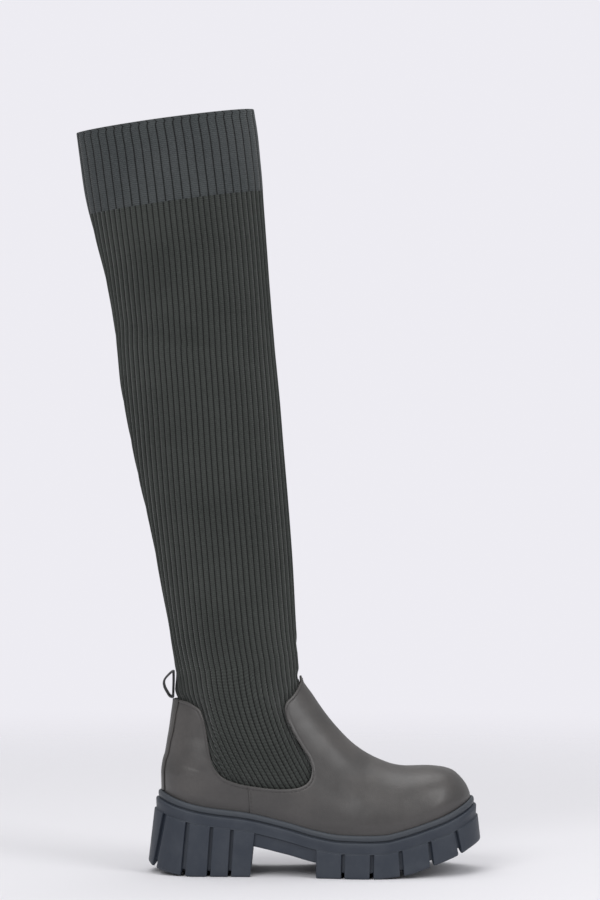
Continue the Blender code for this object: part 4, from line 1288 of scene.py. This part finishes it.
def thread_material(name, colour):
    """Twisted waxed thread."""
    n = Nodes(name)
    twist = n.noise(2600.0, 1.0)
    tone = n.mix(n.ramp(twist, 0.3, 0.7, 0.0, 0.6), colour, (*(c * 0.35 for c in colour[:3]), 1))
    return n.finish(tone, 0.6, n.bump(twist, 0.0002, 0.6), Specular_IOR_Level=0.35)


def lining_material(name, colour):
    """Brushed fabric of the insole."""
    n = Nodes(name)
    weave = n.noise(1300.0, 2.0, 0.7)
    tone = n.mix(n.ramp(weave, 0.3, 0.75), colour, (*(c * 2.2 for c in colour[:3]), 1))
    normal = n.bump(weave, 0.0004, 0.7)
    return n.finish(tone, 0.95, normal, Sheen_Weight=0.2, Sheen_Roughness=0.5)


def floor_material():
    """Pale paper that fades into the background far from the boot."""
    n = Nodes("pale_floor")
    n.put(n.shader.inputs["Base Color"], (*FLOOR_COLOUR, 1))
    n.put(n.shader.inputs["Roughness"], 0.9)
    n.put(n.shader.inputs["Specular IOR Level"], 0.1)
    clear = n.tree.nodes.new("ShaderNodeBsdfTransparent")
    blend = n.tree.nodes.new("ShaderNodeMixShader")
    away = n.tree.nodes.new("ShaderNodeVectorMath")
    away.operation = "LENGTH"
    n.put(away.inputs[0], n.place())
    n.put(blend.inputs[0], n.ramp(away.outputs["Value"], *FLOOR_FADE))
    n.tree.links.new(n.shader.outputs[0], blend.inputs[1])
    n.tree.links.new(clear.outputs[0], blend.inputs[2])
    n.tree.links.new(blend.outputs[0], n.tree.nodes["Material Output"].inputs["Surface"])
    return n.material


def make_floor():
    bpy.ops.mesh.primitive_circle_add(vertices=96, radius=FLOOR_RADIUS, fill_type="TRIFAN")
    floor = bpy.context.object
    floor.name = "studio_floor"
    floor.data.materials.append(floor_material())


def make_world():
    """Pale backdrop for the camera, and an even light from all round for everything else."""
    world = bpy.data.worlds.new("studio")
    world.use_nodes = True
    bpy.context.scene.world = world
    tree = world.node_tree
    tree.nodes.clear()
    out = tree.nodes.new("ShaderNodeOutputWorld")
    mixed = tree.nodes.new("ShaderNodeMixShader")
    path = tree.nodes.new("ShaderNodeLightPath")
    seen = tree.nodes.new("ShaderNodeBackground")
    seen.inputs["Color"].default_value = (*BACKDROP, 1)
    around = tree.nodes.new("ShaderNodeBackground")
    around.inputs["Color"].default_value = (*AMBIENT, 1)
    around.inputs["Strength"].default_value = AMBIENT_STRENGTH
    tree.links.new(path.outputs["Is Camera Ray"], mixed.inputs[0])
    tree.links.new(around.outputs[0], mixed.inputs[1])
    tree.links.new(seen.outputs[0], mixed.inputs[2])
    tree.links.new(mixed.outputs[0], out.inputs["Surface"])


def make_lights():
    for i in range(len(LIGHTS["x"])):
        light = bpy.data.lights.new(f"softbox_{i}", "AREA")
        light.shape = "RECTANGLE"
        light.size, light.size_y = LIGHTS["wide"][i], LIGHTS["tall"][i]
        light.energy = LIGHTS["watts"][i]
        made = bpy.data.objects.new(light.name, light)
        bpy.context.scene.collection.objects.link(made)
        made.location = [LIGHTS[axis][i] for axis in "xyz"]
        aim = Vector([LIGHTS["aim_x"][i], 0.0, LIGHTS["aim_z"][i]]) - made.location
        made.rotation_euler = aim.to_track_quat("-Z", "Y").to_euler()


def make_camera():
    camera = bpy.data.cameras.new("camera")
    camera.sensor_width = SENSOR
    camera.lens = LENS
    made = bpy.data.objects.new("camera", camera)
    bpy.context.scene.collection.objects.link(made)
    made.location = (CAMERA_X, -CAMERA_DISTANCE, CAMERA_HEIGHT)
    made.rotation_euler = (math.pi / 2, 0, 0)
    bpy.context.scene.camera = made


def dressed(made, material, slot, *nodes):
    """Gives a piece its material, and says what it rides on and which nodes it stands for."""
    made.data.materials.clear()
    made.data.materials.append(material)
    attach(made, "root")
    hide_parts(*nodes)


def main():
    bpy.context.scene.view_settings.view_transform = "Standard"
    make_camera()
    outer, inner, out_normals, uv, ankle_row, cuff_row = make_knit()
    knit = (outer, inner, out_normals, uv)
    shaft_knit = knit_material("rib_knit", 1.0, KNIT_LIGHT, KNIT_DARK, 0.62)
    cuff_knit = knit_material("cuff_knit", 1 / CUFF_RIB, CUFF_LIGHT, CUFF_DARK, 0.70)
    gore = knit_piece("knit_gore", (0, ankle_row), knit, 0.0)
    leg = knit_piece("knit_leg", (ankle_row, cuff_row - 1), knit, 0.0)
    cuff = knit_piece("knit_cuff", (cuff_row - 1, len(outer) - 1), knit, CUFF_LIP)
    dressed(leg, shaft_knit, "shaft", "shaft")
    dressed(gore, shaft_knit, "shaft")
    dressed(cuff, cuff_knit, "shaft")
    foot, foot_outer, foot_normals = make_upper()
    leather = leather_material("smooth_leather", LEATHER_LIGHT, LEATHER_LOW, LEATHER_DARK)
    dressed(foot, leather, "upper", "upper")
    threads = stitches("edge_stitches", stitch_rows(foot_outer, foot_normals))
    dressed(threads, thread_material("thread", THREAD_COLOUR), "upper")
    rubber = rubber_material("slate_rubber", SOLE_COLOUR, SOLE_PALER)
    dressed(make_outsole(), rubber, "outsole", "outsole")
    dressed(make_rand(), rubber_material("rand_rubber", RAND_COLOUR, SOLE_PALER), "welt", "welt")
    dressed(make_back_strip(), leather, "back_strip", "back_strip")
    dressed(make_pull_loop(), tape_material("strap", STRAP_COLOUR), "pull_loop", "pull_loop")
    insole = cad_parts["insole"]
    insole.data.materials.clear()
    insole.data.materials.append(lining_material("lining", INSOLE_COLOUR))
    make_floor()
    make_world()
    make_lights()


main()
